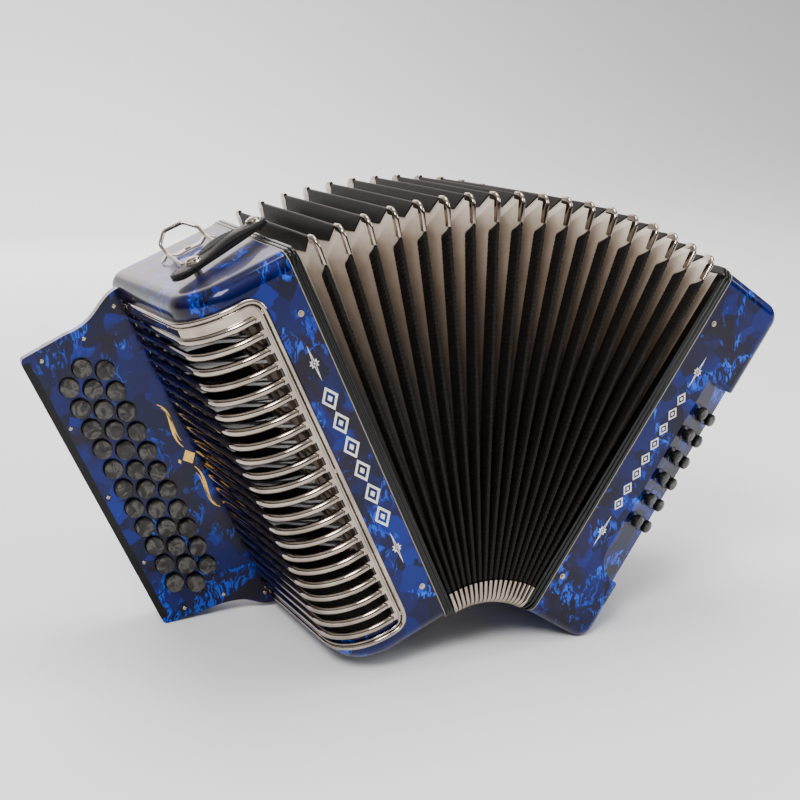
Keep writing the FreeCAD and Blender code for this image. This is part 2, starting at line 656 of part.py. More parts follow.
def bass_buttons(node, column):
    """Six buttons of one column, each a cap on a stem."""
    buttons = []
    base, out = slanted(column, size("bass_cap_lift"))
    for z in bass_heights():
        at = base + Z * z
        cap = Part.makeCylinder(size("bass_cap_radius"), size("bass_cap_height"), at, out)
        stem = Part.makeCylinder(size("bass_stem_radius"), size("bass_cap_lift") + size("bass_stem_length"), at, -out)
        top = max(cap.Edges, key=lambda e: (e.CenterOfMass - at).dot(out))
        buttons.append(cap.makeFillet(0.9, [top]).fuse(stem))
    keep(node, feature(node + "_set", Part.makeCompound(buttons)), "bass")


def air_button():
    face = "bass_frame + bass_width"
    cap = rod("air_cap", (f"{face} + bass_cap_lift", "air_depth", "air_height"), "air_radius",
              "bass_cap_height", X)
    stem = rod("air_stem", (f"{face} - bass_stem_length", "air_depth", "air_height"), "bass_stem_radius",
               "bass_stem_length + bass_cap_lift + 1", X)
    keep("air_button", fuse("air_button_whole", [cap, stem]), "bass")


def hand_strap():
    """A leather band that bows off the bass casing's outer face."""
    face = size("bass_frame") + size("bass_width")
    low, span = size("hand_strap_foot"), size("hand_strap_length")
    thick, bow = size("hand_strap_thick"), size("hand_strap_bow")

    def at(x, z):
        return Vector(x, size("hand_strap_depth"), z)

    outside = Part.Arc(at(face + thick, low), at(face + bow + thick, low + span / 2), at(face + thick, low + span))
    inside = Part.Arc(at(face, low + thick), at(face + bow, low + span / 2), at(face, low + span - thick))
    edges = [outside.toShape(), inside.toShape(), Part.makeLine(at(face + thick, low), at(face, low)),
             Part.makeLine(at(face, low), at(face, low + thick)),
             Part.makeLine(at(face + thick, low + span), at(face, low + span)),
             Part.makeLine(at(face, low + span), at(face, low + span - thick))]
    band = Part.Face(Part.Wire(Part.__sortEdges__(edges))).extrude(Y * size("hand_strap_width"))
    keep("bass_hand_strap", feature("hand_strap_band", band), "bass")


# ---------------------------------------------------------------- fittings on the treble casing's top

def wire_run(points, radius, closed=True):
    """A bent wire: a cylinder along each run and a ball at each bend."""
    ends = list(zip(points, points[1:] + points[:1] if closed else points[1:]))
    pieces = [Part.makeCylinder(radius, (b - a).Length, a, b - a) for a, b in ends]
    pieces += [Part.makeSphere(radius, p) for p in points]
    return pieces[0].multiFuse(pieces[1:]).removeSplitter()


def tunnel_axis():
    """Middle of the two curled ends, through which the ring's side wires pass."""
    rise = size("tunnel_radius") + size("bracket_thick")
    return Vector(-size("treble_frame") - size("bracket_inset"), size("bracket_depth"),
                  size("case_height") + rise)


def strap_bracket():
    centre, half = "-treble_frame - bracket_inset", "bracket_length / 2"
    plate = box("bracket_plate", (f"{centre} - {half}", "bracket_depth - bracket_width / 2", "case_height"),
                "bracket_length", "bracket_width", "bracket_thick")
    plate = fillet("bracket_ends", plate, 3.6, lambda e: runs_along(e, Z))
    rise = "case_height + tunnel_radius + bracket_thick"
    curls, holes = [], []
    for name, sign in (("left", "-"), ("right", "+")):
        start = (f"{centre} {sign} tunnel_span / 2", "bracket_depth - tunnel_length / 2", rise)
        past = (start[0], "bracket_depth - bracket_width", rise)
        curls.append(rod(f"curl_{name}", start, "tunnel_radius + bracket_thick", "tunnel_length", Y))
        holes.append(rod(f"curl_{name}_hole", past, "tunnel_radius", "2 * bracket_width", Y))
    head = rod("bracket_screw", (centre, "bracket_depth", "case_height"), "screw_head",
               "bracket_thick + screw_rise")
    keep("strap_bracket", cut("bracket_whole", fuse("bracket_solid", [plate, head] + curls), holes), "treble")


def strap_ring():
    """Six-sided wire ring: its front bar lies on the casing and its back stands up."""
    middle, half = tunnel_axis(), size("tunnel_span") / 2
    wire = size("ring_wire")
    flat = size("case_height") + wire + 0.3
    points = [Vector(middle.x - half, middle.y - size("ring_front"), flat), Vector(middle.x - half, middle.y, middle.z),
              Vector(middle.x - half, middle.y + 14, middle.z + 6),
              Vector(middle.x - half / 2, middle.y + 20, middle.z + 13)]
    points += [Vector(2 * middle.x - p.x, p.y, p.z) for p in reversed(points)]
    keep("strap_ring", feature("ring_wire_bent", wire_run(points, wire)), "treble")


def strap_point(share):
    """Point on the bellows strap's middle line, at its underside."""
    turn = Rotation(Z, size("strap_turn"))
    start = Vector(-size("treble_frame") - size("strap_inset"), size("strap_depth"),
                   size("case_height") + size("strap_lift"))
    return start + turn.multVec(X * share * size("strap_length"))


def snap(at, foot, drop):
    """A snap: domed head on the strap, shank through it, and a foot that reaches down under it."""
    top = size("strap_thick")
    dome = Part.makeCone(6.2, 4.2, 2, at + Z * top, Z)
    return dome.fuse([Part.makeCylinder(2, top, at, Z), Part.makeCylinder(foot, drop, at, -Z)])


def bellows_strap():
    turn = Rotation(Z, size("strap_turn"))
    side = turn.multVec(Y * -size("strap_width") / 2)
    at = strap_point(0) + side
    band = box("strap_band", (at.x, at.y, "case_height + strap_lift"), "strap_length", "strap_width",
               "strap_thick", turn)
    band = fillet("strap_ends", band, 0.46 * size("strap_width"), lambda e: runs_along(e, Z))
    snaps = [snap(strap_point(0.22), 3.0, size("strap_lift")),
             snap(strap_point(0.9), 4.0, size("strap_lift") / 2)]
    holes = feature("strap_holes", Part.makeCompound([Part.makeCylinder(2, 20, strap_point(s) - Z, Z)
                                                      for s in (0.22, 0.9)]))
    keep("bellows_strap", cut("strap_leather", band, [holes]), "treble")
    keep("strap_snaps", feature("snap_pair", Part.makeCompound(snaps)), "treble")


def fasteners():
    """Screws of the grille and the fingerboard, and the pins that hold the bellows."""
    proud = size("grille_seat") + size("grille_plate")
    treble = [screw(f"grille_screw_{n}", at, out, proud) for n, (at, out) in enumerate(screw_places())]
    treble += [screw(f"board_screw_{n}", at, out) for n, (at, out) in enumerate(board_screws())]
    treble += [pin(f"treble_pin_{n}", at, out)
               for n, (at, out) in enumerate(pin_places("treble"))]
    keep("treble_screws", group("treble_screw_set", treble), "treble")
    bass = [pin(f"bass_pin_{n}", at, out) for n, (at, out) in enumerate(pin_places("bass"))]
    keep("bass_pins", group("bass_pin_set", bass), "bass")


def pin(name, at, outward):
    """A bellows pin: a round head on a flat collar."""
    collar = Part.makeCylinder(size("pin_head"), size("pin_collar"), at, outward)
    head = Part.makeCylinder(0.5 * size("pin_head"), size("pin_rise"), at, outward)
    return feature(name, collar.fuse([head, shank(at, outward)]))


# ---------------------------------------------------------------- the whole instrument

def build():
    treble_casing()
    treble_grille()
    bellows_frame("bellows_frame_treble", "treble", "-treble_frame", "treble_frame")
    keys = key_list()
    plate = "-treble_frame - treble_board - soundboard_thick"
    wells = []
    for node, row, height in keys:
        rank = ROWS[row][2]
        wells.append(box(node + "_well", (f"{plate} - 1", f"pallet_front + {rank} * pallet_pitch - pallet_width / 2 + 3",
                                          f"{height} - pallet_height / 2 + 3"),
                         "soundboard_thick + 2", "pallet_width - 6", "pallet_height - 6"))
    soundboard("treble_soundboard", "treble", plate, wells)
    reed_blocks("treble_reed_blocks", "treble", "-treble_frame - treble_board",
                "treble_frame + treble_board + block_reach")
    fingerboard()
    key_box()
    key_axle()
    for key in keys:
        treble_key(*key)
    for letter in RIGID_FOLDS:
        fold_rim(letter)
    bellows_pleats()
    bellows_frame("bellows_frame_bass", "bass", "0", "bass_frame")
    vents = [box(f"bass_vent_{n}", ("bass_frame", f"case_depth / 2 + {n - 1} * block_pitch - 6", "2 * block_margin"),
                 "soundboard_thick + 4", "12", "case_height - 4 * block_margin") for n in range(3)]
    soundboard("bass_soundboard", "bass", "bass_frame + 2", vents)
    reed_blocks("bass_reed_blocks", "bass", "-block_reach", "block_reach + bass_frame + 2")
    bass_casing()
    bass_buttons("bass_buttons_front", "bass_front_column")
    bass_buttons("bass_buttons_rear", "bass_rear_column")
    air_button()
    hand_strap()
    strap_bracket()
    strap_ring()
    bellows_strap()
    fasteners()


def stand():
    """Placement that sets the instrument on its two lower corners, over the origin."""
    doc.recompute()
    heavy = ["treble_casing", "fingerboard", "bass_casing", "treble_grille", "strap_ring", "bellows_strap"]
    solids = {node: parts[node][0].Shape.copy() for node in heavy}
    for node, solid in solids.items():
        solid.Placement = frame_of(parts[node][1]) * solid.Placement

    def limits(tilt, nodes):
        turned = [solids[node].transformed(Placement(Vector(), Rotation(Y, tilt)).toMatrix()) for node in nodes]
        return [s.optimalBoundingBox(True) for s in turned]

    def step(tilt):
        """How much higher the treble side's lowest point is than the bass side's."""
        left = min(b.ZMin for b in limits(tilt, ["treble_casing", "fingerboard", "treble_grille"]))
        return left - min(b.ZMin for b in limits(tilt, ["bass_casing"]))

    low, high = -45.0, 0.0
    for _ in range(22):
        middle = (low + high) / 2
        low, high = (middle, high) if step(middle) < 0 else (low, middle)
    tilt = (low + high) / 2
    boxes = limits(tilt, heavy)
    centre = (min(b.XMin for b in boxes) + max(b.XMax for b in boxes)) / 2
    depth = (min(b.YMin for b in boxes) + max(b.YMax for b in boxes)) / 2
    shift = Vector(-centre, -depth, -min(b.ZMin for b in boxes))
    print(f"stands at {tilt:.4f} degrees, origin moved by {tuple(round(v, 3) for v in shift)}")
    return Placement(shift, Rotation(Y, tilt))


def frame_of(side):
    if side == "treble":
        return Placement()
    return FAN[-1] if side == "bass" else FAN[RIGID_FOLDS[side]]


def finish():
    standing = stand()
    for node, (thing, side) in parts.items():
        thing.Placement = standing * frame_of(side) * thing.Placement
    doc.recompute()
    for thing in doc.Objects:
        if {"Invalid", "Error"} & set(thing.State):
            raise RuntimeError(f"{thing.Name} did not build: {thing.State}")
    for node, (thing, _) in parts.items():
        if thing.Shape.isNull() or not thing.Shape.isValid() or not thing.Shape.Solids:
            raise RuntimeError(f"{node} has no valid solid")
    os.makedirs("parts", exist_ok=True)
    for node, (thing, _) in parts.items():
        thing.Shape.exportStep(f"parts/{node}.step")
    print(len(parts), "sub-parts")


build()
finish()
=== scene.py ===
import bpy
import json
import math
from mathutils import Matrix, Vector


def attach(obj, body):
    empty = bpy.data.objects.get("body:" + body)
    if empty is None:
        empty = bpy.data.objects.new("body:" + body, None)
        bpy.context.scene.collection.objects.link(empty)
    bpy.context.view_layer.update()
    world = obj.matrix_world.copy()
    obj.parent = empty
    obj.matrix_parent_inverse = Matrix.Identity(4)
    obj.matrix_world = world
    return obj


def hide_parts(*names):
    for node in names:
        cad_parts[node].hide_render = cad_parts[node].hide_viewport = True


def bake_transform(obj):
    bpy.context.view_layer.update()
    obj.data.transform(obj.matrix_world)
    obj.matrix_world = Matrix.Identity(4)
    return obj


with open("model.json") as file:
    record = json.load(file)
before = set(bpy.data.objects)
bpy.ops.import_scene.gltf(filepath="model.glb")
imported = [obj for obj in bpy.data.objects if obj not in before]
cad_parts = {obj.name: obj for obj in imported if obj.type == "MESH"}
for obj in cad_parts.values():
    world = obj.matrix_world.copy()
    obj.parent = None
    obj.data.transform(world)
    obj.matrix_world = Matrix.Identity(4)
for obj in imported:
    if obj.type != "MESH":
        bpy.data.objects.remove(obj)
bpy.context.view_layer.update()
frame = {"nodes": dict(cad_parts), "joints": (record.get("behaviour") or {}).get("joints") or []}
nodes = frame["nodes"]
joints = {joint["name"]: joint for joint in frame["joints"]}
MM = 0.001

# ---------------------------------------------------------------- camera, light and floor
# A portrait lens in front of the treble side, a little above the instrument and looking down on
# it. The floor runs up into a pale backdrop, and five soft lights stand round it.

bpy.ops.object.camera_add(location=(-0.3853, -0.8742, 0.4318))
camera = bpy.context.object
camera.data.lens = 55.74
camera.data.sensor_width = 36
turn_right, look_down, roll = math.radians(23.48), math.radians(14.44), math.radians(0.46)
camera.matrix_world = (Matrix.Translation(camera.location) @ Matrix.Rotation(-turn_right, 4, "Z")
                       @ Matrix.Rotation(math.pi / 2 - look_down, 4, "X") @ Matrix.Rotation(roll, 4, "Z"))
bpy.context.scene.camera = camera


def soft_light(name, place, aim, width, power):
    bpy.ops.object.light_add(type="AREA", location=place)
    lamp = bpy.context.object
    lamp.name = name
    lamp.data.size = width
    lamp.data.energy = power
    lamp.rotation_euler = (Vector(aim) - Vector(place)).to_track_quat("-Z", "Y").to_euler()


def new_material(name, **sockets):
    """A material with its shader's sockets set, given by name with _ for a space."""
    material = bpy.data.materials.new(name)
    material.use_nodes = True
    shader = material.node_tree.nodes["Principled BSDF"]
    for socket, value in sockets.items():
        shader.inputs[socket.replace("_", " ")].default_value = value
    return material, material.node_tree, shader


def add_node(tree, kind, inputs=None, **settings):
    """Add a shader node; an input is a value, or another node's socket."""
    made = tree.nodes.new(f"ShaderNode{kind}")
    for name, value in settings.items():
        setattr(made, name, value)
    for name, value in (inputs or {}).items():
        if isinstance(value, bpy.types.NodeSocket):
            tree.links.new(value, made.inputs[name])
        else:
            made.inputs[name].default_value = value
    return made


def ramp(tree, source, stops):
    """Colour ramp from a list of (position, colour)."""
    made = add_node(tree, "ValToRGB", {"Fac": source})
    band = made.color_ramp
    while len(band.elements) < len(stops):
        band.elements.new(0.5)
    for element, (position, colour) in zip(band.elements, stops):
        element.position = position
        element.color = (*colour, 1) if len(colour) == 3 else colour
    return made.outputs["Color"]


def mix(tree, share, a, b, blend="MIX"):
    made = add_node(tree, "Mix", data_type="RGBA", blend_type=blend)
    for index, value in ((0, share), (6, a), (7, b)):
        if isinstance(value, bpy.types.NodeSocket):
            tree.links.new(value, made.inputs[index])
        else:
            made.inputs[index].default_value = value
    return made.outputs[2]


def grey(value):
    return (value, value, value)


soft_light("key_light", (-1.2, -1.5, 2.1), (0, 0, 0.15), 0.9, 62)
soft_light("fill_light", (1.9, -0.9, 1.2), (0, 0, 0.15), 0.8, 18)
soft_light("top_light", (0.1, 0.3, 2.5), (0, 0, 0.2), 1.2, 44)
soft_light("rear_light", (0.15, 2.1, 1.35), (0, 0, 0.3), 2.0, 24)
bpy.context.object.data.color = (1.0, 0.87, 0.84)
soft_light("backdrop_light", (0, 2.6, 3.0), (0, 5.5, 0.6), 2.4, 190)

bpy.ops.mesh.primitive_plane_add(size=16, location=(0, 0, 0))
floor = bpy.context.object
floor.name = "floor"
bpy.ops.object.mode_set(mode="EDIT")
bpy.ops.mesh.select_all(action="DESELECT")
bpy.ops.object.mode_set(mode="OBJECT")
for edge in floor.data.edges:
    edge.select = all(floor.data.vertices[v].co.y > 7 for v in edge.vertices)
bpy.ops.object.mode_set(mode="EDIT")
bpy.ops.mesh.select_mode(type="EDGE")
bpy.ops.mesh.extrude_region_move(TRANSFORM_OT_translate={"value": (0, 0, 9)})
bpy.ops.object.mode_set(mode="OBJECT")
bend = floor.modifiers.new("bend", "BEVEL")
bend.width, bend.segments, bend.limit_method = 5, 24, "ANGLE"
bpy.ops.object.modifier_apply(modifier="bend")
bpy.ops.object.shade_smooth()

paper, _, _ = new_material("pale_paper", Base_Color=(0.9, 0.9, 0.9, 1), Roughness=0.9, Specular_IOR_Level=0.0)
floor.data.materials.append(paper)
world = bpy.data.worlds.new("studio")
bpy.context.scene.world = world
world.use_nodes = True
sky = world.node_tree
sky_up = add_node(sky, "SeparateXYZ", {0: add_node(sky, "TexCoord").outputs["Generated"]}).outputs[2]
sky_tone = ramp(sky, sky_up, [(0.0, grey(0.06)), (0.2, grey(0.10)), (0.5, grey(0.75)), (1.0, grey(1.0))])
sky.links.new(sky_tone, sky.nodes["Background"].inputs["Color"])
sky.nodes["Background"].inputs["Strength"].default_value = 0.85


# ---------------------------------------------------------------- casings
# Both casings, the fingerboard and its tray are beech ply covered in blue pearl celluloid:
# flakes of azure and cobalt in navy, with purple-brown clouds, under a thick polished lacquer.

def pearl_material():
    material, tree, shader = new_material("blue_pearl_celluloid", Roughness=0.3, Coat_Weight=0.42,
                                          Coat_Roughness=0.03, Metallic=0.25, Specular_IOR_Level=0.1)
    place = add_node(tree, "TexCoord").outputs["Object"]
    drift = add_node(tree, "TexNoise", {"Vector": place, "Scale": 34.0, "Detail": 3.0})
    drift = add_node(tree, "VectorMath", {0: drift.outputs["Color"], 1: (0.5, 0.5, 0.5)},
                     operation="SUBTRACT")
    drift = add_node(tree, "VectorMath", {0: drift.outputs[0], "Scale": 0.022}, operation="SCALE")
    bent = add_node(tree, "VectorMath", {0: place, 1: drift.outputs[0]}, operation="ADD").outputs[0]
    flakes = add_node(tree, "TexVoronoi", {"Vector": bent, "Scale": 62.0}, feature="F1")
    lean = add_node(tree, "Mapping", {"Vector": flakes.outputs["Color"], "Scale": (3.0, 3.0, 3.0)})
    streaked = add_node(tree, "VectorMath", {0: bent, 1: lean.outputs[0]}, operation="ADD")
    stretch = add_node(tree, "Mapping", {"Vector": streaked.outputs[0], "Scale": (1.0, 0.6, 0.28),
                                         "Rotation": (0.3, 0.5, 0.2)})
    streaks = add_node(tree, "TexNoise", {"Vector": stretch.outputs[0], "Scale": 190.0, "Detail": 4.0,
                                          "Roughness": 0.55, "Distortion": 1.6})
    cloud = add_node(tree, "TexNoise", {"Vector": place, "Scale": 21.0, "Detail": 5.0, "Roughness": 0.6,
                                        "Distortion": 1.2})
    other = add_node(tree, "TexNoise", {"Vector": bent, "Scale": 15.0, "Detail": 3.0, "Distortion": 0.8})
    base = ramp(tree, flakes.outputs["Distance"], [(0.0, (0.001, 0.006, 0.05)),
                                                   (0.008, (0.0008, 0.003, 0.025))])
    cell = add_node(tree, "SeparateColor", {"Color": flakes.outputs["Color"]})
    tone = ramp(tree, cell.outputs[0], [(0.0, (0.0002, 0.0008, 0.014)), (0.4, (0.0002, 0.0020, 0.045)),
                                        (0.75, (0.0004, 0.005, 0.105)), (1.0, (0.0005, 0.016, 0.23))])
    base = mix(tree, 0.82, base, tone)
    brown = ramp(tree, other.outputs["Fac"], [(0.52, grey(0)), (0.6, grey(0.8))])
    base = mix(tree, brown, base, (0.006, 0.002, 0.008, 1))
    patch = ramp(tree, cloud.outputs["Fac"], [(0.53, grey(0)), (0.59, grey(1))])
    line = ramp(tree, streaks.outputs["Fac"], [(0.5, grey(0)), (0.54, grey(1))])
    bright = mix(tree, cell.outputs[1], (0.0005, 0.028, 0.36, 1), (0.001, 0.10, 0.70, 1))
    both = add_node(tree, "Math", {0: patch, 1: line}, operation="MULTIPLY").outputs[0]
    colour = mix(tree, both, base, bright)
    tree.links.new(colour, shader.inputs["Base Color"])
    dent = add_node(tree, "TexNoise", {"Vector": place, "Scale": 60.0, "Detail": 1.0})
    bump = add_node(tree, "Bump", {"Height": dent.outputs["Fac"], "Strength": 0.05, "Distance": 0.0006})
    tree.links.new(bump.outputs[0], shader.inputs["Coat Normal"])
    return material


def finish_node(name, material):
    """Give a CAD node its material."""
    slots = nodes[name].data.materials
    slots.clear()
    slots.append(material)


pearl = pearl_material()
for name in ("treble_casing", "bass_casing", "fingerboard", "key_box"):
    finish_node(name, pearl)

# The two casings lean apart. The keys' axle runs up the treble casing, so it gives the way that
# casing leans; the fan of folds below leads from it to the bass casing.
CASE_HEIGHT, CASE_DEPTH = 310, 190
axle = joints["treble_key_01_press"]
up = -Vector(axle["axis"])
LEAN = Matrix.Rotation(math.atan2(up.x, up.z), 4, "Y")
AXLE_SPOT = Vector((-89, 160, 252.5)) * MM
TREBLE = Matrix.Translation(Vector(axle["pos_m"]) - LEAN @ AXLE_SPOT) @ LEAN


# ---------------------------------------------------------------- bellows
# Eighteen folds of card between the two black frames. The card is pale at the top and painted
# darker towards the floor: painted shade deep in the pleats. Ribbed black tape wraps each rim, and
# chrome guards cap its corners.

FOLDS = 18
FOLD_PITCH, FOLD_ANGLE = 3.35, math.radians(3.082)
END_PITCH, END_ANGLE = 2.0, math.radians(2.4)
PLEAT_DEPTH = 22
SPANS = ((0, 5, "treble", "fold_a"), (5, 9, "fold_a", "fold_b"), (9, 14, "fold_b", "fold_c"),
         (14, 19, "fold_c", "bass"))


def fan():
    """Place and lean of the treble frame's face, each fold and the bass frame's face, in mm."""
    places, base, lean = [(Vector(), 0.0)], Vector(), 0.0
    for n in range(FOLDS + 1):
        pitch, angle = (END_PITCH, END_ANGLE) if n in (0, FOLDS) else (FOLD_PITCH, FOLD_ANGLE)
        middle = lean + angle / 2
        base = base + Vector((math.cos(middle), 0, -math.sin(middle))) * pitch
        lean += angle
        places.append((base, lean))
    return places


FAN = fan()


def fold_matrix(base, lean):
    """From millimetres in one plane of the fan to the row frame."""
    return TREBLE @ Matrix.Scale(MM, 4) @ Matrix.Translation(base) @ Matrix.Rotation(lean, 4, "Y")


PLANES = [fold_matrix(*place) for place in FAN]
VALLEYS = [fold_matrix((a[0] + b[0]) / 2, (a[1] + b[1]) / 2) for a, b in zip(FAN, FAN[1:])]
BASS = PLANES[-1] @ Matrix.Scale(1 / MM, 4)
SIDES = ("front", "top", "back", "bottom")


def on_side(side, share, inset):
    """Depth and height of a point part way along one side of the bellows, counted clockwise."""
    low, deep, high = inset, CASE_DEPTH - inset, CASE_HEIGHT - inset
    corners = {"front": ((low, low), (low, high)), "top": ((low, high), (deep, high)),
               "back": ((deep, high), (deep, low)), "bottom": ((deep, low), (low, low))}
    (y0, z0), (y1, z1) = corners[side]
    return y0 + (y1 - y0) * share, z0 + (z1 - z0) * share


def fold_point(plane, side, share, inset, shift=0.0):
    y, z = on_side(side, share, inset)
    return plane @ Vector((shift, y, z))


def skin(name, rings, material, uvs=None, capped=True):
    """Closed mesh through rings of points: its ends are capped, or its last ring meets its first."""
    count = len(rings[0])
    points = [point for ring in rings for point in ring]
    faces = []
    for r in range(len(rings) - 1 if capped else len(rings)):
        for c in range(count):
            a, b = r * count + c, r * count + (c + 1) % count
            over = ((r + 1) % len(rings)) * count
            faces.append((a, b, over + (c + 1) % count, over + c))
    if capped:
        faces.append(tuple(range(count))[::-1])
        faces.append(tuple((len(rings) - 1) * count + c for c in range(count)))
    mesh = bpy.data.meshes.new(name)
    mesh.from_pydata(points, [], faces)
    if uvs:
        layer = mesh.uv_layers.new(name="UVMap")
        flat = [uv for ring in uvs for uv in ring]
        for loop in mesh.loops:
            layer.data[loop.index].uv = flat[loop.vertex_index]
    piece = bpy.data.objects.new(name, mesh)
    bpy.context.collection.objects.link(piece)
    mesh.materials.append(material)
    recalculate(piece)
    return piece


def select_only(piece):
    if bpy.context.object and bpy.context.object.mode != "OBJECT":
        bpy.ops.object.mode_set(mode="OBJECT")
    bpy.ops.object.select_all(action="DESELECT")
    piece.select_set(True)
    bpy.context.view_layer.objects.active = piece


def recalculate(piece):
    """Point every face outwards."""
    select_only(piece)
    bpy.ops.object.mode_set(mode="EDIT")
    bpy.ops.mesh.select_all(action="SELECT")
    bpy.ops.mesh.normals_make_consistent(inside=False)
    bpy.ops.object.mode_set(mode="OBJECT")


def smooth(piece, degrees=35):
    select_only(piece)
    bpy.ops.object.shade_smooth_by_angle(angle=math.radians(degrees))


def joined(pieces, name):
    select_only(pieces[0])
    for other in pieces[1:]:
        other.select_set(True)
    if len(pieces) > 1:
        bpy.ops.object.join()
    piece = bpy.context.object
    piece.name = name
    return piece


def hold_fold(piece, n):
    """A fold that starts a span moves with that span's body; any other fold is left where it is built."""
    rigid = {first: a for first, _, a, _ in SPANS}
    if n in rigid:
        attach(piece, rigid[n])
        return
    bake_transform(piece)


def hold_gap(piece):
    """The card of one gap is left where it is built."""
    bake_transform(piece)


def card_material():
    material, tree, shader = new_material("bellows_card", Roughness=0.62, Sheen_Weight=0.15)
    place = add_node(tree, "UVMap", uv_map="UVMap").outputs[0]
    parts = add_node(tree, "SeparateXYZ", {0: place})
    # Colour by height: the card's own pale beige at the top and bottom edges, painted darker down the walls
    # to near black, as painted shade deep in the pleats.
    height = ramp(tree, parts.outputs[1], [(0.0, (0.50, 0.41, 0.30)), (0.035, (0.30, 0.23, 0.16)),
                                           (0.06, (0.010, 0.007, 0.005)), (0.36, (0.018, 0.012, 0.009)),
                                           (0.60, (0.060, 0.041, 0.028)), (0.80, (0.20, 0.145, 0.10)),
                                           (0.92, (0.36, 0.28, 0.215)), (0.985, (0.66, 0.58, 0.50))])
    spot = add_node(tree, "TexCoord").outputs["Object"]
    stain = add_node(tree, "TexNoise", {"Vector": spot, "Scale": 30.0, "Detail": 6.0, "Roughness": 0.65})
    tint = ramp(tree, stain.outputs["Fac"], [(0.3, (0.72, 0.68, 0.62)), (0.6, (1, 1, 1))])
    colour = mix(tree, 1.0, height, tint, "MULTIPLY")
    tree.links.new(colour, shader.inputs["Base Color"])
    grain = add_node(tree, "TexNoise", {"Vector": spot, "Scale": 900.0, "Detail": 3.0})
    bump = add_node(tree, "Bump", {"Height": grain.outputs["Fac"], "Strength": 0.25, "Distance": 0.0004})
    tree.links.new(bump.outputs[0], shader.inputs["Normal"])
    return material


def mottle(tree, shader, scale, detail, stops, place=None, **settings):
    """Colour a finish by noise of the given scale, and give the noise back."""
    if place is None:
        place = add_node(tree, "TexCoord").outputs["Object"]
    haze = add_node(tree, "TexNoise", {"Vector": place, "Scale": scale, "Detail": detail, **settings})
    tree.links.new(ramp(tree, haze.outputs["Fac"], stops), shader.inputs["Base Color"])
    return haze


def uneven_gloss(tree, shader, haze, low, high):
    """Vary a finish's roughness with its noise."""
    rough = add_node(tree, "MapRange", {"Value": haze.outputs["Fac"], "To Min": low, "To Max": high})
    tree.links.new(rough.outputs[0], shader.inputs["Roughness"])


def tape_material():
    material, tree, shader = new_material("ribbed_tape", Roughness=0.48, Specular_IOR_Level=0.14)
    cloth = mottle(tree, shader, 700.0, 4.0, [(0.3, (0.003, 0.0025, 0.0022)), (0.7, (0.010, 0.008, 0.007))])
    bump = add_node(tree, "Bump", {"Height": cloth.outputs["Fac"], "Strength": 0.35, "Distance": 0.0003})
    tree.links.new(bump.outputs[0], shader.inputs["Normal"])
    return material


def chrome_material():
    material, tree, shader = new_material("polished_chrome", Metallic=1.0)
    haze = mottle(tree, shader, 45.0, 5.0, [(0.35, (0.30, 0.25, 0.21)), (0.65, (0.47, 0.40, 0.335))])
    uneven_gloss(tree, shader, haze, 0.04, 0.10)
    return material


card, tape, chrome = card_material(), tape_material(), chrome_material()
TAPE_DEPTH = {"front": 9.5, "back": 9.5, "top": 14, "bottom": 8}
RIB_SLANT = 1.1
GUARD_REACH = {"front": 19, "back": 19, "top": 12, "bottom": 12}
RIB_PITCH = {"front": 3.5, "back": 3.5, "top": 1.8, "bottom": 3.5}
RIB_RISE = {"front": 0.62, "back": 0.62, "top": 0.16, "bottom": 0.3}
TAPE_THICK, TAPE_MIDDLE, TAPE_EDGE, TAPE_INNER = 1.05, 0.95, 0.62, 0.2
RIM_INSET, SHOULDER = 0.9, 0.0008
CARD_THICK, CARD_INSET, CARD_AT_FRAME, FRAME_SEAT = 1.1, 0.6, 7.0, 0.4
GUARD_BEND, GUARD_RADIUS, GUARD_END, GUARD_DEPTH = 7.0, 1.66, 1.5, 4.6


def make_card(n):
    """Card of one gap: two walls that meet in a valley, mitred at the corners."""
    shares = (0.0, 0.035, 0.07, 0.14, 0.3, 0.5, 0.7, 0.86, 0.93, 0.965)
    start = (CARD_AT_FRAME, FRAME_SEAT) if n == 0 else (CARD_INSET, 0)
    end = (CARD_AT_FRAME, -FRAME_SEAT) if n == FOLDS else (CARD_INSET, 0)
    rows = [(PLANES[n], *start), (VALLEYS[n], PLEAT_DEPTH, 0), (PLANES[n + 1], *end)]
    rows += [(plane, inset + CARD_THICK, shift) for plane, inset, shift in reversed(rows)]
    rings = [[fold_point(plane, side, share, inset, shift) for side in SIDES for share in shares]
             for plane, inset, shift in rows]
    uvs = [[(row / (len(rows) - 1), on_side(side, share, rows[row][1])[1] / CASE_HEIGHT)
            for side in SIDES for share in shares] for row in range(len(rows))]
    piece = skin(f"bellows_card_{n + 1:02d}", rings, card, uvs, capped=False)
    hold_gap(piece)
    return piece


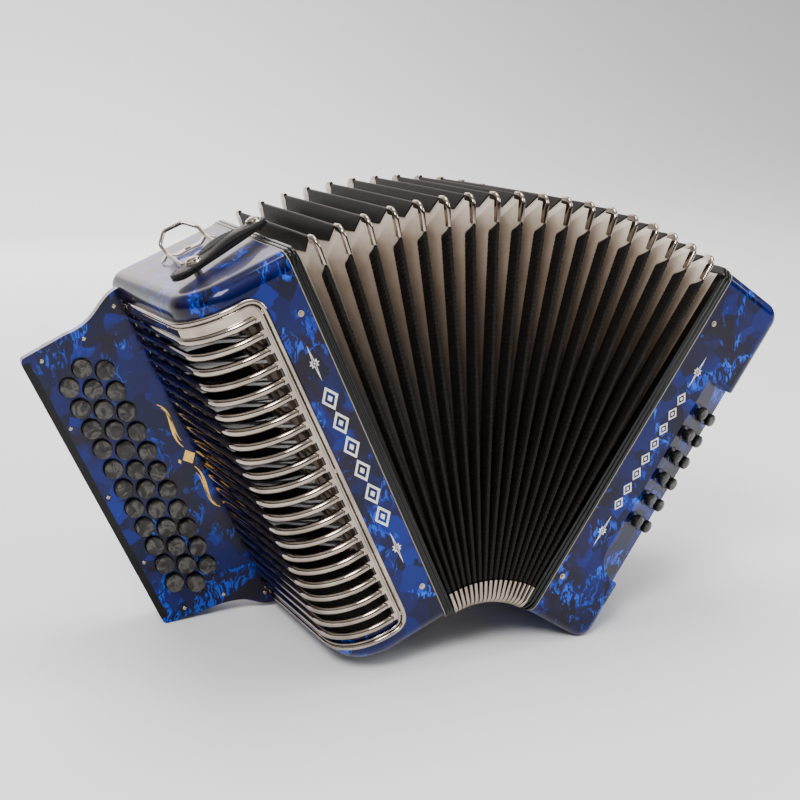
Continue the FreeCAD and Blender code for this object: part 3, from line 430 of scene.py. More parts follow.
def tape_section(n, side, share, radius):
    """Section of the tape where it wraps over a rim and down both walls."""
    rim = fold_point(PLANES[n], side, share, RIM_INSET)
    near = fold_point(VALLEYS[n - 1], side, share, PLEAT_DEPTH)
    far = fold_point(VALLEYS[n], side, share, PLEAT_DEPTH)
    along = (fold_point(PLANES[n], side, share + 0.01, RIM_INSET) - rim).normalized()
    depth = TAPE_DEPTH[side] * MM
    walls = []
    for valley, other in ((near, far), (far, near)):
        down = (valley - rim).normalized()
        out = along.cross(down).normalized()
        walls.append((down, out if out.dot(valley - other) > 0 else -out))
    (left, left_out), (right, right_out) = walls
    reach = radius * MM
    tip = -(left + right).normalized()
    bends = (0.35, 0.85, 1.3)
    arc = [left_out * math.cos(a) + tip * math.sin(a) for a in bends]
    arc += [right_out * math.cos(a) + tip * math.sin(a) for a in reversed(bends)]
    section = [rim + left * depth + left_out * reach * TAPE_EDGE,
               rim + left * depth * 0.5 + left_out * reach * TAPE_MIDDLE,
               rim + left * SHOULDER + left_out * reach]
    section += [rim + way.normalized() * reach for way in arc]
    section += [rim + right * SHOULDER + right_out * reach,
                rim + right * depth * 0.5 + right_out * reach * TAPE_MIDDLE,
                rim + right * depth + right_out * reach * TAPE_EDGE]
    outer = len(section)
    section += [rim + right * depth + right_out * reach * TAPE_INNER, rim - tip * 0.002,
                rim + left * depth + left_out * reach * TAPE_INNER]
    slant = along * RIB_SLANT * MM if side in ("front", "back") else Vector()
    return [point + slant * (2 * k / outer - 1) if k < outer else point for k, point in enumerate(section)]


def make_tape(n):
    """Tape on the four sides of one fold, ribbed along its length."""
    strips = []
    for side in SIDES:
        length = CASE_HEIGHT if side in ("front", "back") else CASE_DEPTH
        guard = GUARD_REACH[side]
        ribs = round((length - 2 * guard) / RIB_PITCH[side])
        rings = []
        steps = 3 if side in ("front", "back") else 2
        for step in range(ribs * steps + 1):
            share = (guard + (length - 2 * guard) * step / (ribs * steps)) / length
            rise = (0.0, 1.0, 0.7)[step % steps] if steps == 3 else float(step % steps)
            rings.append(tape_section(n, side, share, TAPE_THICK + RIB_RISE[side] * rise))
        strips.append(skin(f"bellows_tape_{n:02d}_{side}", rings, tape))
    piece = joined(strips, f"bellows_tape_{n:02d}")
    smooth(piece, 50)
    return piece


def guard_template():
    """The four chrome corner guards of one fold, in the fold's own plane, in millimetres."""
    bend, steps = GUARD_BEND, 8
    path = [(Vector((0, GUARD_REACH["top"], 0)), math.pi / 2), (Vector((0, bend, 0)), math.pi / 2)]
    path += [(Vector((0, bend - bend * math.sin(a), -bend + bend * math.cos(a))), math.pi / 2 + a)
             for a in (math.pi / 2 * s / steps for s in range(1, steps + 1))]
    path += [(Vector((0, 0, -GUARD_REACH["front"])), math.pi)]
    rings = []
    for number, (spot, angle) in enumerate(path):
        outward = Vector((0, math.cos(angle), math.sin(angle)))
        size = GUARD_RADIUS if 0 < number < len(path) - 1 else GUARD_END
        ring = [spot + outward * size * math.sin(a) + Vector((size * math.cos(a), 0, 0))
                for a in (math.pi * s / 8 for s in range(9))]
        ring += [spot - outward * GUARD_DEPTH + Vector((x, 0, 0)) for x in (-size * 0.9, size * 0.9)]
        rings.append(ring)
    return rings


def make_guards(n):
    """Guards on the corners of one fold: one corner's rings, mirrored to the other three."""
    pieces = []
    for number, (flip_y, flip_z) in enumerate(((False, False), (True, False), (True, True), (False, True))):
        rings = []
        for ring in guard_template():
            spots = [Vector((p.x, CASE_DEPTH - p.y if flip_y else p.y, -p.z if flip_z else CASE_HEIGHT + p.z))
                     for p in ring]
            rings.append([PLANES[n] @ spot for spot in spots])
        pieces.append(skin(f"bellows_guard_{n:02d}_{number}", rings, chrome))
    piece = joined(pieces, f"bellows_guards_{n:02d}")
    smooth(piece, 40)
    return piece


RIGID_RIMS = {5: "bellows_fold_a", 9: "bellows_fold_b", 14: "bellows_fold_c"}
cards = [make_card(n) for n in range(FOLDS + 1)]
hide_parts("bellows_pleats")
for n in range(1, FOLDS + 1):
    strip, guards = make_tape(n), make_guards(n)
    hold_fold(strip, n)
    hold_fold(guards, n)
    if n in RIGID_RIMS:
        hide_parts(RIGID_RIMS[n])

lacquer, tree, shader = new_material("black_lacquer", Roughness=0.2, Coat_Weight=0.2, Coat_Roughness=0.04,
                                     Specular_IOR_Level=0.2)
mottle(tree, shader, 240.0, 4.0, [(0.4, grey(0.002)), (0.7, grey(0.006))])
for name in ("bellows_frame_treble", "bellows_frame_bass"):
    finish_node(name, lacquer)


def tube(name, path, radius, material, closed=False, sides=10):
    """Round bar along a path, with its rings carried along without twist."""
    count = len(path)
    ways = []
    for n in range(count):
        ahead = path[(n + 1) % count] if closed or n + 1 < count else path[n]
        behind = path[n - 1] if closed or n else path[n]
        ways.append((ahead - behind).normalized())
    side = ways[0].orthogonal().normalized()
    rings = []
    for spot, way in zip(path, ways):
        side = (side - way * side.dot(way)).normalized()
        other = way.cross(side)
        rings.append([spot + (side * math.cos(a) + other * math.sin(a)) * radius
                      for a in (math.tau * k / sides for k in range(sides))])
    if closed:
        first, last = rings[0], rings[-1]
        turn = min(range(sides), key=lambda k: (first[k] - last[0]).length)
        if turn:
            rings.append([first[(k + turn) % sides] for k in range(sides)])
            closed = False
    piece = skin(name, rings, material, capped=not closed)
    smooth(piece, 60)
    return piece


def rounded(corners, radius, closed=True, steps=6):
    """Path through corners, each cut by a curve that starts at some distance from it."""
    path = []
    for n, corner in enumerate(corners):
        if not closed and n in (0, len(corners) - 1):
            path.append(corner.copy())
            continue
        before, after = corners[n - 1], corners[(n + 1) % len(corners)]
        start = corner + (before - corner).normalized() * min(radius, (before - corner).length * 0.49)
        end = corner + (after - corner).normalized() * min(radius, (after - corner).length * 0.49)
        for k in range(steps + 1):
            t = k / steps
            path.append(start * (1 - t) ** 2 + corner * 2 * t * (1 - t) + end * t ** 2)
    return path


def refined(path, step, closed=True):
    """The same path with points no further apart than step."""
    points = []
    ends = path[1:] + ([path[0]] if closed else [])
    for a, b in zip(path, ends):
        parts = max(1, math.ceil((b - a).length / step))
        points += [a + (b - a) * k / parts for k in range(parts)]
    return points if closed else points + [path[-1]]


def copies(piece, moves, name):
    """Copies of a piece, each moved by a matrix, joined into one."""
    made = []
    for number, move in enumerate(moves):
        twin = piece.copy()
        twin.data = piece.data.copy()
        twin.data.transform(move)
        twin.name = f"{name}_{number}"
        bpy.context.collection.objects.link(twin)
        made.append(twin)
    bpy.data.objects.remove(piece)
    return joined(made, name)


def own(piece, body, slot, *stands_for):
    """What a piece rides on, and the CAD nodes it stands for, which are hidden. The slot is not used."""
    if stands_for:
        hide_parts(*stands_for)
    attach(piece, body)


# Each frame carries two black beads and, beside its casing, a hair-thin ivory line.
ivory, _, _ = new_material("ivory_line", Base_Color=(0.30, 0.27, 0.23, 1), Roughness=0.3)
LINE_RADIUS, BEAD_RADIUS = 0.0003, 0.00085
frame_corners = ((0, 0), (0, CASE_HEIGHT), (CASE_DEPTH, CASE_HEIGHT), (CASE_DEPTH, 0))
for body, plane, beads in (("treble", PLANES[0], (-7.3, -5.0, -2.0)), ("bass", PLANES[-1], (9.3, 6.6, 3.0))):
    for number, x in enumerate(beads):
        corners = [Vector((x, y, z)) for y, z in frame_corners]
        path = [plane @ point for point in rounded(corners, 10, steps=8)]
        radius, material = (LINE_RADIUS, ivory) if number == 0 else (BEAD_RADIUS, lacquer)
        bead = tube(f"{body}_frame_bead_{number + 1}", path, radius, material, closed=True)
        own(bead, body, "black_lacquer")

# ---------------------------------------------------------------- grille
# A pressed and plated steel cover wraps round the casing's front corner. A round bead and a finer
# one run round its border, and a half-round louvre lies on each bar between two slots.

GRILLE_EDGE, GRILLE_END = -34.5, 155
CORNER_X, CORNER_RADIUS = -52.35, 38
FLAT = GRILLE_EDGE - CORNER_X
SWEEP = math.radians(90 - 4.634)
ARC = CORNER_RADIUS * SWEEP
SIDE_START = CORNER_RADIUS - CORNER_RADIUS * math.cos(SWEEP)
GRILLE_LENGTH = FLAT + ARC + (GRILLE_END - SIDE_START) / math.sin(SWEEP)
GRILLE_LOW, GRILLE_HIGH = 15, 295
for name in ("treble_grille", "strap_snaps", "treble_screws"):
    finish_node(name, chrome)


def on_grille(along, height, lift):
    """Point some way round the casing from the grille's right edge, lifted off the casing."""
    if along <= FLAT:
        x, y = GRILLE_EDGE - along, -lift
    else:
        turn = min((along - FLAT) / CORNER_RADIUS, SWEEP)
        past = max(along - FLAT - ARC, 0)
        x = CORNER_X - (CORNER_RADIUS + lift) * math.sin(turn) - past * math.cos(SWEEP)
        y = CORNER_RADIUS - (CORNER_RADIUS + lift) * math.cos(turn) + past * math.sin(SWEEP)
    return PLANES[0] @ Vector((x, y, height))


def grille_bead(name, inset, lift, radius, material):
    low, high, right, left = GRILLE_LOW + inset, GRILLE_HIGH - inset, inset, GRILLE_LENGTH + 4
    corners = [Vector((right, low)), Vector((right, high)), Vector((left, high)), Vector((left, low))]
    path = refined(rounded(corners, 15 - inset, steps=8), 2.4)
    piece = tube(name, [on_grille(p.x, p.y, lift) for p in path], radius * MM, material, closed=True,
                 sides=12)
    own(piece, "treble", "chrome")


grille_bead("grille_bead", 1.9, 1.9, 1.9, chrome)
grille_bead("grille_inner_bead", 5.1, 1.75, 0.85, chrome)
# A black bar in the groove between the two beads is painted shade there.
grille_bead("grille_groove_shade", 3.95, 1.75, 0.45, lacquer)

LOUVRES, SLOT_PITCH, TOP_BAR = 22, 12, 279.8
LOUVRE_START, LOUVRE_STOP, LOUVRE_TAPER = 9.2, GRILLE_LENGTH + 2, 4
LOUVRE_HALF, LOUVRE_RISE, LOUVRE_SEAT, LOUVRE_STEPS = 3.1, 3.3, 0.9, 78
rings = []
for k in range(LOUVRE_STEPS + 1):
    along = LOUVRE_START + (LOUVRE_STOP - LOUVRE_START) * k / LOUVRE_STEPS
    from_end = min(along - LOUVRE_START, LOUVRE_STOP - along, LOUVRE_TAPER) / LOUVRE_TAPER
    size = max(math.sqrt(1 - (1 - from_end) ** 2), 0.12)
    rings.append([on_grille(along, TOP_BAR + LOUVRE_HALF * size * math.cos(a),
                            LOUVRE_SEAT + LOUVRE_RISE * size * math.sin(a))
                  for a in (math.pi * j / 10 for j in range(11))])
louvre = skin("louvre", rings, chrome)
smooth(louvre, 40)
drop = PLANES[0].to_3x3() @ Vector((0, 0, -SLOT_PITCH))
louvres = copies(louvre, [Matrix.Translation(drop * n) for n in range(LOUVRES)], "grille_louvres")
own(louvres, "treble", "chrome")

# Black sheets line the treble casing's back, floor, ceiling and cheek: painted shade, dark sheets that stand
# in for the shade deep inside the casing behind the grille's slots.
shade_liner, tree, shader = new_material("black_shade_liner", Roughness=0.95, Sheen_Weight=0.4)
mottle(tree, shader, 500.0, 3.0, [(0.3, grey(0.003)), (0.7, grey(0.010))])
LINER_RIGHT = -33.6


def casing_plan(inset):
    """Plan of the treble casing's inside, from its front right to its back right."""
    plan = [(LINER_RIGHT, inset)]
    for k in range(9):
        turn = SWEEP * k / 8
        plan.append((CORNER_X - (CORNER_RADIUS - inset) * math.sin(turn),
                     CORNER_RADIUS - (CORNER_RADIUS - inset) * math.cos(turn)))
    plan += [(-102 + inset, CASE_DEPTH - 12), (-100 + inset + 2, CASE_DEPTH - inset - 4),
             (-90, CASE_DEPTH - inset), (LINER_RIGHT, CASE_DEPTH - inset)]
    return plan


panels = []
for number, (low, high) in enumerate(((5.2, 5.8), (CASE_HEIGHT - 5.8, CASE_HEIGHT - 5.2))):
    rings = [[PLANES[0] @ Vector((x, y, z)) for x, y in casing_plan(5.5)] for z in (low, high)]
    panels.append(skin(f"liner_{number}", rings, shade_liner))
outer, inner = casing_plan(5.3)[-4:], casing_plan(5.9)[-4:][::-1]
outer.insert(0, (-98.2 + 5.3, GRILLE_END + 12))
inner.append((-98.2 + 5.9, GRILLE_END + 12))
rings = [[PLANES[0] @ Vector((x, y, z)) for x, y in outer + inner] for z in (6, CASE_HEIGHT - 6)]
panels.append(skin("liner_wall", rings, shade_liner))
bpy.ops.object.select_all(action="DESELECT")
bpy.ops.mesh.primitive_cube_add(size=1)
cheek = bpy.context.object
cheek.data.transform(PLANES[0] @ Matrix.Translation((-42.75, 2.9, 155)) @ Matrix.Diagonal((0.4, 5.2, 262, 1)))
cheek.data.materials.append(shade_liner)
panels.append(cheek)
own(joined(panels, "treble_lining"), "treble", "tape")

# The soundboards and reed blocks are coloured a near-black brown, with a grain along the wood.
umber, tree, shader = new_material("near_black_spruce", Roughness=0.7)
along_grain = add_node(tree, "Mapping", {"Vector": add_node(tree, "TexCoord").outputs["Object"],
                                         "Rotation": (0, math.radians(23.5), 0), "Scale": (9, 9, 0.7)})
mottle(tree, shader, 60.0, 5.0, [(0.35, (0.010, 0.006, 0.004)), (0.65, (0.035, 0.020, 0.011))],
       along_grain.outputs[0])
for name in ("treble_soundboard", "treble_reed_blocks", "bass_soundboard", "bass_reed_blocks"):
    finish_node(name, umber)

# ---------------------------------------------------------------- treble keys
# Each key is a stamped aluminium lever on the steel axle. A marbled grey button is pressed on its
# stem, and a wooden pallet faced with tan leather closes the hole under its other end.

lever_metal, tree, shader = new_material("stamped_aluminium", Metallic=1.0)
haze = mottle(tree, shader, 300.0, 4.0, [(0.3, grey(0.35)), (0.7, grey(0.5))])
uneven_gloss(tree, shader, haze, 0.3, 0.5)
button_grey, tree, shader = new_material("marbled_grey_pearl", Roughness=0.35, Coat_Weight=0.2,
                                         Coat_Roughness=0.08, Specular_IOR_Level=0.2)
mottle(tree, shader, 95.0, 2.0, [(0.36, (0.012, 0.011, 0.010)), (0.5, (0.030, 0.028, 0.026)),
                                 (0.60, (0.085, 0.078, 0.070)), (0.72, (0.025, 0.023, 0.021))],
       Distortion=1.6)
tan, tree, shader = new_material("tan_leather", Roughness=0.75, Sheen_Weight=0.3)
mottle(tree, shader, 260.0, 5.0, [(0.3, (0.07, 0.037, 0.015)), (0.7, (0.14, 0.08, 0.033))])
KEY_ROWS = ((11, 158.5, 67.5, 60), (12, 143.6, 58.2, 90), (11, 129, 67, 120))
KEY_PITCH = 18.5
BACK_AND_UP = Matrix.Rotation(math.pi / 2, 4, "X")
CAP_RADIUS, CAP_HEIGHT, CAP_DOME, CAP_FOOT = 0.0070, 0.0083, 0.0004, 157.5
PALLET_SIZE, PALLET_X = (0.0054, 0.0244, 0.0144), -35.5
keys = []
for count, reach, foot, pallet_y in KEY_ROWS:
    keys += [(-8 - reach, foot + KEY_PITCH * step, pallet_y) for step in reversed(range(count))]


def apply_bevel(piece, width, segments, degrees=35):
    bevel = piece.modifiers.new("bevel", "BEVEL")
    bevel.width, bevel.segments = width, segments
    bevel.limit_method, bevel.angle_limit = "ANGLE", math.radians(degrees)
    select_only(piece)
    bpy.ops.object.modifier_apply(modifier="bevel")


def turned_button(name, radius, height, dome, material):
    """Round button with a domed top, standing on the origin."""
    bpy.ops.object.select_all(action="DESELECT")
    bpy.ops.mesh.primitive_cylinder_add(vertices=40, radius=radius, depth=height, location=(0, 0, height / 2))
    piece = bpy.context.object
    piece.name = name
    bpy.ops.object.transform_apply(location=True, rotation=False, scale=False)
    apply_bevel(piece, radius * 0.06, 3)
    bpy.ops.object.mode_set(mode="EDIT")
    bpy.ops.mesh.select_all(action="DESELECT")
    bpy.ops.object.mode_set(mode="OBJECT")
    for face in piece.data.polygons:
        face.select = face.normal.z > 0.99 and face.area > radius * radius
    bpy.ops.object.mode_set(mode="EDIT")
    bpy.ops.mesh.select_mode(type="FACE")
    for _ in range(2):
        bpy.ops.mesh.inset(thickness=radius * 0.26)
        bpy.ops.transform.translate(value=(0, 0, dome / 2))
    bpy.ops.object.mode_set(mode="OBJECT")
    piece.data.materials.append(material)
    smooth(piece, 40)
    return piece


for number, (x, z, pallet_y) in enumerate(keys, start=1):
    body = f"treble_key_{number:02d}"
    finish_node(body, lever_metal)
    cap = turned_button(f"{body}_button", CAP_RADIUS, CAP_HEIGHT, CAP_DOME, button_grey)
    cap.data.transform(TREBLE @ Matrix.Translation(Vector((x, CAP_FOOT, z)) * MM) @ BACK_AND_UP)
    own(cap, body, "button_grey")
    bpy.ops.object.select_all(action="DESELECT")
    bpy.ops.mesh.primitive_cube_add(size=1)
    pallet = bpy.context.object
    pallet.name = f"{body}_pallet"
    pallet.data.transform(Matrix.Diagonal((*PALLET_SIZE, 1)))
    apply_bevel(pallet, 0.0007, 2)
    pallet.data.transform(TREBLE @ Matrix.Translation(Vector((PALLET_X, pallet_y, z)) * MM))
    pallet.data.materials.append(tan)
    own(pallet, body, "leather")
finish_node("key_axle", lever_metal)

# ---------------------------------------------------------------- fingerboard
# The board's long edge is bound in black, every hole has a black ferrule whose sleeve darkens the hole
# as painted shade, and a gilt scroll is let into the celluloid between the inner row and the casing.

BOARD_FACE = 155
black, tree, shader = new_material("black_celluloid", Roughness=0.3, Coat_Weight=0.15, Coat_Roughness=0.04,
                                   Specular_IOR_Level=0.15)
mottle(tree, shader, 90.0, 3.0, [(0.3, grey(0.002)), (0.7, grey(0.005))])
# Each ferrule's black lip is the hole's black edge; its black sleeve down the hole is painted shade inside
# the hole.
FERRULE_AND_SHADE = ((7.56, 0.1), (7.62, -0.1), (7.95, -0.1), (8.0, -0.01), (7.69, 0.03), (7.69, 8.9), (7.62, 8.9))
rings = [[PLANES[0] @ Vector((r * math.cos(a), BOARD_FACE + y, r * math.sin(a))) for r, y in FERRULE_AND_SHADE]
         for a in (math.tau * k / 40 for k in range(40))]
ferrule_and_shade = skin("ferrule_and_shade", rings, black, capped=False)
smooth(ferrule_and_shade, 40)
origin = PLANES[0] @ Vector((0, 0, 0))
moves = [Matrix.Translation(PLANES[0] @ Vector((x, 0, z)) - origin) for x, z, _ in keys]
own(copies(ferrule_and_shade, moves, "fingerboard_ferrules_and_shade"), "treble", "black_lacquer")

BINDING = ((-183.5, 154.95), (-183.5, 154.72), (-189.0, 154.72), (-189.3, 155.0), (-189.3, 164.0),
           (-188.9, 164.0), (-188.9, 155.1))
rings = [[PLANES[0] @ Vector((x, y, z)) for x, y in BINDING] for z in (43.5, 120, 200, 283.5)]
own(skin("fingerboard_binding", rings, black), "treble", "black_lacquer")
# A hair-thin chrome cord down the board's inner edge is a painted highlight: it stands in for the glints on
# the louvres' ends there.
path = [PLANES[0] @ Vector((-100.2, 154.8, 30 + 8 * k)) for k in range(34)]
own(tube("fingerboard_seam_glint", path, 0.00028, chrome), "treble", "chrome")


def plate(name, place, outline, thick, material):
    """Thin plate with an outline in the XZ plane, standing thick out of it towards -Y."""
    rings = [[place @ Vector((x, y, z)) for x, z in outline] for y in (0.05, -thick)]
    return skin(name, rings, material)


def ring_plate(name, place, outline, hole, thick, material):
    """The same, with a hole: both outlines have as many points."""
    loops = [(outline, 0.05), (outline, -thick), (hole, -thick), (hole, 0.05)]
    rings = [[place @ Vector((x, y, z)) for x, z in loop] for loop, y in loops]
    return skin(name, rings, material, capped=False)


def ribbon(points, widths):
    """Outline of a band that follows points with a width at each."""
    left, right = [], []
    for n, point in enumerate(points):
        way = (points[min(n + 1, len(points) - 1)] - points[max(n - 1, 0)]).normalized()
        across = Vector((-way.y, way.x)) * widths[n] / 2
        left.append(tuple(point + across))
        right.append(tuple(point - across))
    return left + right[::-1]


def bowed(a, bow_a, bow_b, b, steps=14):
    return [a * (1 - t) ** 3 + bow_a * 3 * t * (1 - t) ** 2 + bow_b * 3 * t * t * (1 - t) + b * t ** 3
            for t in (k / steps for k in range(steps + 1))]


gilt, tree, shader = new_material("gilt_inlay", Metallic=0.5)
haze = mottle(tree, shader, 400.0, 3.0, [(0.3, (0.80, 0.47, 0.07)), (0.7, (0.95, 0.64, 0.15))])
uneven_gloss(tree, shader, haze, 0.22, 0.4)
scroll_place = PLANES[0] @ Matrix.Translation((-110, BOARD_FACE, 157))
taper = [0.5 + 2.0 * math.sin(math.pi * k / 14) ** 1.5 for k in range(15)]
strokes = []
for sign in (1, -1):
    main = bowed(Vector((-4, 51)), Vector((7, 40)), Vector((-8, 24)), Vector((-0.5, 9.5)))
    curl = bowed(Vector((-2.5, 47)), Vector((4, 36)), Vector((-3, 26)), Vector((0.5, 15)))
    strokes.append(ribbon([sign * p for p in main], taper))
    strokes.append(ribbon([sign * p for p in curl], [0.45 * w for w in taper]))
strokes.append([(-5.5, 0), (0, 6.5), (5.5, 0), (0, -6.5)])
strokes += [[(x - 1.3, 0), (x, 2.2), (x + 1.3, 0), (x, -2.2)] for x in (-8.2, 8.2)]
scroll = [plate(f"scroll_{n}", scroll_place, outline, 0.22, gilt) for n, outline in enumerate(strokes)]
own(joined(scroll, "fingerboard_scroll"), "treble", "brass")

# ---------------------------------------------------------------- inlays on the casings' fronts
# Silver foil set under the lacquer: a row of hollow lozenges between two pointed rosettes runs down
# the front of each casing, beside its bellows frame.

silver, tree, shader = new_material("silver_inlay", Metallic=0.7, Roughness=0.32)
mottle(tree, shader, 300.0, 3.0, [(0.3, (0.66, 0.63, 0.57)), (0.7, (0.84, 0.81, 0.76))])


def diamond(wide, tall):
    return [(-wide, 0), (0, tall), (wide, 0), (0, -tall)]


def rosette(long, waist, points=4):
    """Star with long and short points, the long ones up and down."""
    outline = []
    for n in range(4 * points):
        turn = math.tau * n / (4 * points)
        reach = waist * (1.0 if n % 2 else (long / waist if n % (2 * points) == points else 1.7))
        outline.append((reach * math.cos(turn), reach * math.sin(turn)))
    return outline


FOIL = 0.16


def inlays(name, plane, body, x, top, foot, count, wide, tall):
    """A column of lozenges at x, between two rosettes at the heights top and foot."""
    made = []
    for z in (top, foot):
        place = plane @ Matrix.Translation((x, 0, z))
        star = rosette(14, 2.3)
        made.append(ring_plate("star", place, star, [(0.55 * u, 0.55 * v) for u, v in star], FOIL, silver))
        made.append(plate("star_heart", place, diamond(0.9, 0.9), FOIL, silver))
    span = top - foot - 36
    for n in range(count):
        place = plane @ Matrix.Translation((x, 0, foot + 18 + span * (n + 0.5) / count))
        made.append(ring_plate("lozenge", place, diamond(wide, tall), diamond(wide * 0.68, tall * 0.68),
                               FOIL, silver))
        made.append(plate("lozenge_heart", place, diamond(wide * 0.3, tall * 0.3), FOIL, silver))
    own(joined(made, name), body, "brass")


inlays("treble_inlay", PLANES[0], "treble", -20.5, 232, 76, 6, 6.6, 9.4)
inlays("bass_inlay", PLANES[-1], "bass", 27, 230, 84, 8, 4.4, 6.0)

# ---------------------------------------------------------------- strap ring and bellows strap
# The ring is bent from chromed wire and lies through the bracket's curls. The bellows strap is two
# layers of black grained leather, sewn round the edge, riveted at one end and snapped at the other.

RING_MIDDLE, WIRE_RADIUS = -42.5, 0.0015
loop = [Vector(p) for p in ((-58.5, 91, 311.8), (-58.5, 133, 314.7), (-58.5, 147, 320.7),
                            (-50.5, 153, 327.7))]
loop += [Vector((2 * RING_MIDDLE - p.x, p.y, p.z)) for p in reversed(loop)]
ring = tube("strap_ring_wire", [PLANES[0] @ p for p in rounded(loop, 2.6, steps=4)], WIRE_RADIUS, chrome,
            closed=True, sides=14)
own(ring, "strap_ring", "chrome", "strap_ring")

BRACKET_SPAN, BRACKET_Y, BRACKET_TOP, BRACKET_HALF, WIRE_X = 46, 133, 312.1, 4.5, 16
sections = []
for k in range(47):
    x = RING_MIDDLE - BRACKET_SPAN / 2 + BRACKET_SPAN * k / 46
    off = abs(x - RING_MIDDLE)
    hump = 3.9 * math.exp(-((off - WIRE_X) / 4.2) ** 2)
    end = max(off - 19.5, 0) / 3.5
    half = BRACKET_HALF * math.sqrt(max(1 - end ** 2, 0.03))
    top = BRACKET_TOP + hump + 0.5 * math.cos(min(off / WIRE_X, 1) * math.pi)
    sections.append([PLANES[0] @ Vector((x, BRACKET_Y + y, z)) for y, z in
                     ((-half, top - 0.3), (-half, top - 1.1), (half, top - 1.1), (half, top - 0.3),
                      (half * 0.8, top), (-half * 0.8, top))])
bracket = skin("strap_bracket_plate", sections, chrome)
smooth(bracket, 40)
own(bracket, "treble", "chrome", "strap_bracket")
rivet = turned_button("strap_bracket_rivet", 0.0024, 0.0016, 0.0004, chrome)
rivet.data.transform(PLANES[0] @ Matrix.Translation((RING_MIDDLE, BRACKET_Y, 312.0))
                     @ Matrix.Scale(1 / MM, 4))
own(rivet, "treble", "chrome")


def leather_material():
    material, tree, shader = new_material("black_grained_leather", Specular_IOR_Level=0.2)
    spot = add_node(tree, "TexCoord").outputs["Object"]
    pores = add_node(tree, "TexVoronoi", {"Vector": spot, "Scale": 900.0}, feature="DISTANCE_TO_EDGE")
    wear = mottle(tree, shader, 40.0, 4.0, [(0.35, grey(0.003)), (0.7, (0.011, 0.010, 0.010))], spot)
    crease = ramp(tree, pores.outputs["Distance"], [(0.0, grey(0)), (0.12, grey(1))])
    bump = add_node(tree, "Bump", {"Height": crease, "Strength": 0.5, "Distance": 0.0004})
    tree.links.new(bump.outputs[0], shader.inputs["Normal"])
    uneven_gloss(tree, shader, wear, 0.30, 0.48)
    return material


leather = leather_material()
thread, _, _ = new_material("waxed_thread", Base_Color=(0.09, 0.085, 0.08, 1), Roughness=0.6,
                            Sheen_Weight=0.4)
strap_place = PLANES[0] @ Matrix.Translation((-75, 47, 0)) @ Matrix.Rotation(math.radians(27.1), 4, "Z")
STRAP_LENGTH, STRAP_HALF, STRAP_TOP = 94, 9, 319.15
SWELL_START, SWELL_SPAN, SWELL_RISE = 20, 64, 3.4


def capsule(inset, steps=14):
    radius = STRAP_HALF - inset
    right = [(STRAP_LENGTH - STRAP_HALF + radius * math.cos(a), radius * math.sin(a))
             for a in (-math.pi / 2 + math.pi * k / steps for k in range(steps + 1))]
    left = [(STRAP_HALF - radius * math.cos(a), -radius * math.sin(a))
            for a in (-math.pi / 2 + math.pi * k / steps for k in range(steps + 1))]
    middle = [STRAP_HALF + (STRAP_LENGTH - 2 * STRAP_HALF) * k / 16 for k in range(1, 16)]
    return right + [(x, radius) for x in reversed(middle)] + left + [(x, -radius) for x in middle]


def strap_wave(x):
    """The leather swells a little between its two fastenings."""
    return SWELL_RISE * math.sin(math.pi * min(max((x - SWELL_START) / SWELL_SPAN, 0), 1)) ** 2


layers = ((1.1, 314.0), (0.25, 314.35), (0.0, 315.2), (0.0, 316.0), (0.75, 316.4), (0.0, 316.8), (0.0, 317.9),
          (0.4, 318.6), (1.3, 319.0), (2.4, 318.8), (4.5, 319.2))
rings = [[strap_place @ Vector((x, y * (1 + 0.03 * strap_wave(x)),
                                z + strap_wave(x) * max(z - 314.6, 0) / 4.6))
          for x, y in capsule(inset)] for inset, z in layers]
strap = skin("bellows_strap_leather", rings, leather)
smooth(strap, 50)
own(strap, "treble", "leather", "bellows_strap")


def stitches(name, path, up_at, length=2.0, gap=1.3, thick=0.42):
    """Thread stitches along a path: short bars with a space after each."""
    made, travelled, goal = [], 0.0, length / 2
    profile = ((-0.5, 0.12), (-0.35, 0.5), (0.35, 0.5), (0.5, 0.12))
    for a, b in zip(path, path[1:]):
        step = (b - a).length
        while goal <= travelled + step:
            spot = a + (b - a) * ((goal - travelled) / step)
            way = (b - a).normalized()
            up_way = up_at(spot)
            side = way.cross(up_way).normalized()
            made.append([[spot + way * t * length + (side * math.cos(k) + up_way * math.sin(k)) * r * thick
                          for k in (math.tau * j / 6 for j in range(6))] for t, r in profile])
            goal += length + gap
        travelled += step
    points, faces = [], []
    for rings in made:
        base = len(points)
        points += [p for ring in rings for p in ring]
        for r in range(3):
            for c in range(6):
                a, b = base + r * 6 + c, base + r * 6 + (c + 1) % 6
                faces.append((a, b, b + 6, a + 6))
        faces.append(tuple(base + c for c in range(6))[::-1])
        faces.append(tuple(base + 18 + c for c in range(6)))
    mesh = bpy.data.meshes.new(name)
    mesh.from_pydata([p * MM for p in points], [], faces)
    piece = bpy.data.objects.new(name, mesh)
    bpy.context.collection.objects.link(piece)
    mesh.materials.append(thread)
    recalculate(piece)
    return piece


seam = [Vector((x, y, STRAP_TOP + strap_wave(x))) for x, y in capsule(2.4) + capsule(2.4)[:1]]
sewn = stitches("bellows_strap_stitching", seam, lambda spot: Vector((0, 0, 1)))
sewn.data.transform(strap_place @ Matrix.Scale(1 / MM, 4))
own(sewn, "treble", "leather")
for number, share in enumerate((0.22, 0.9), start=1):
    snap = turned_button(f"strap_snap_{number}", 0.0052, 0.0022, 0.0012, chrome)
    snap.data.transform(Matrix.Translation(strap_place @ Vector((STRAP_LENGTH * share, 0, 319.3))) @ LEAN)
    own(snap, "treble", "chrome")

# ---------------------------------------------------------------- bass side
# Twelve bass buttons stand in two columns on the slanted face: grey pearl tops on black stems. The
# air button and the padded hand strap are on the outer side.

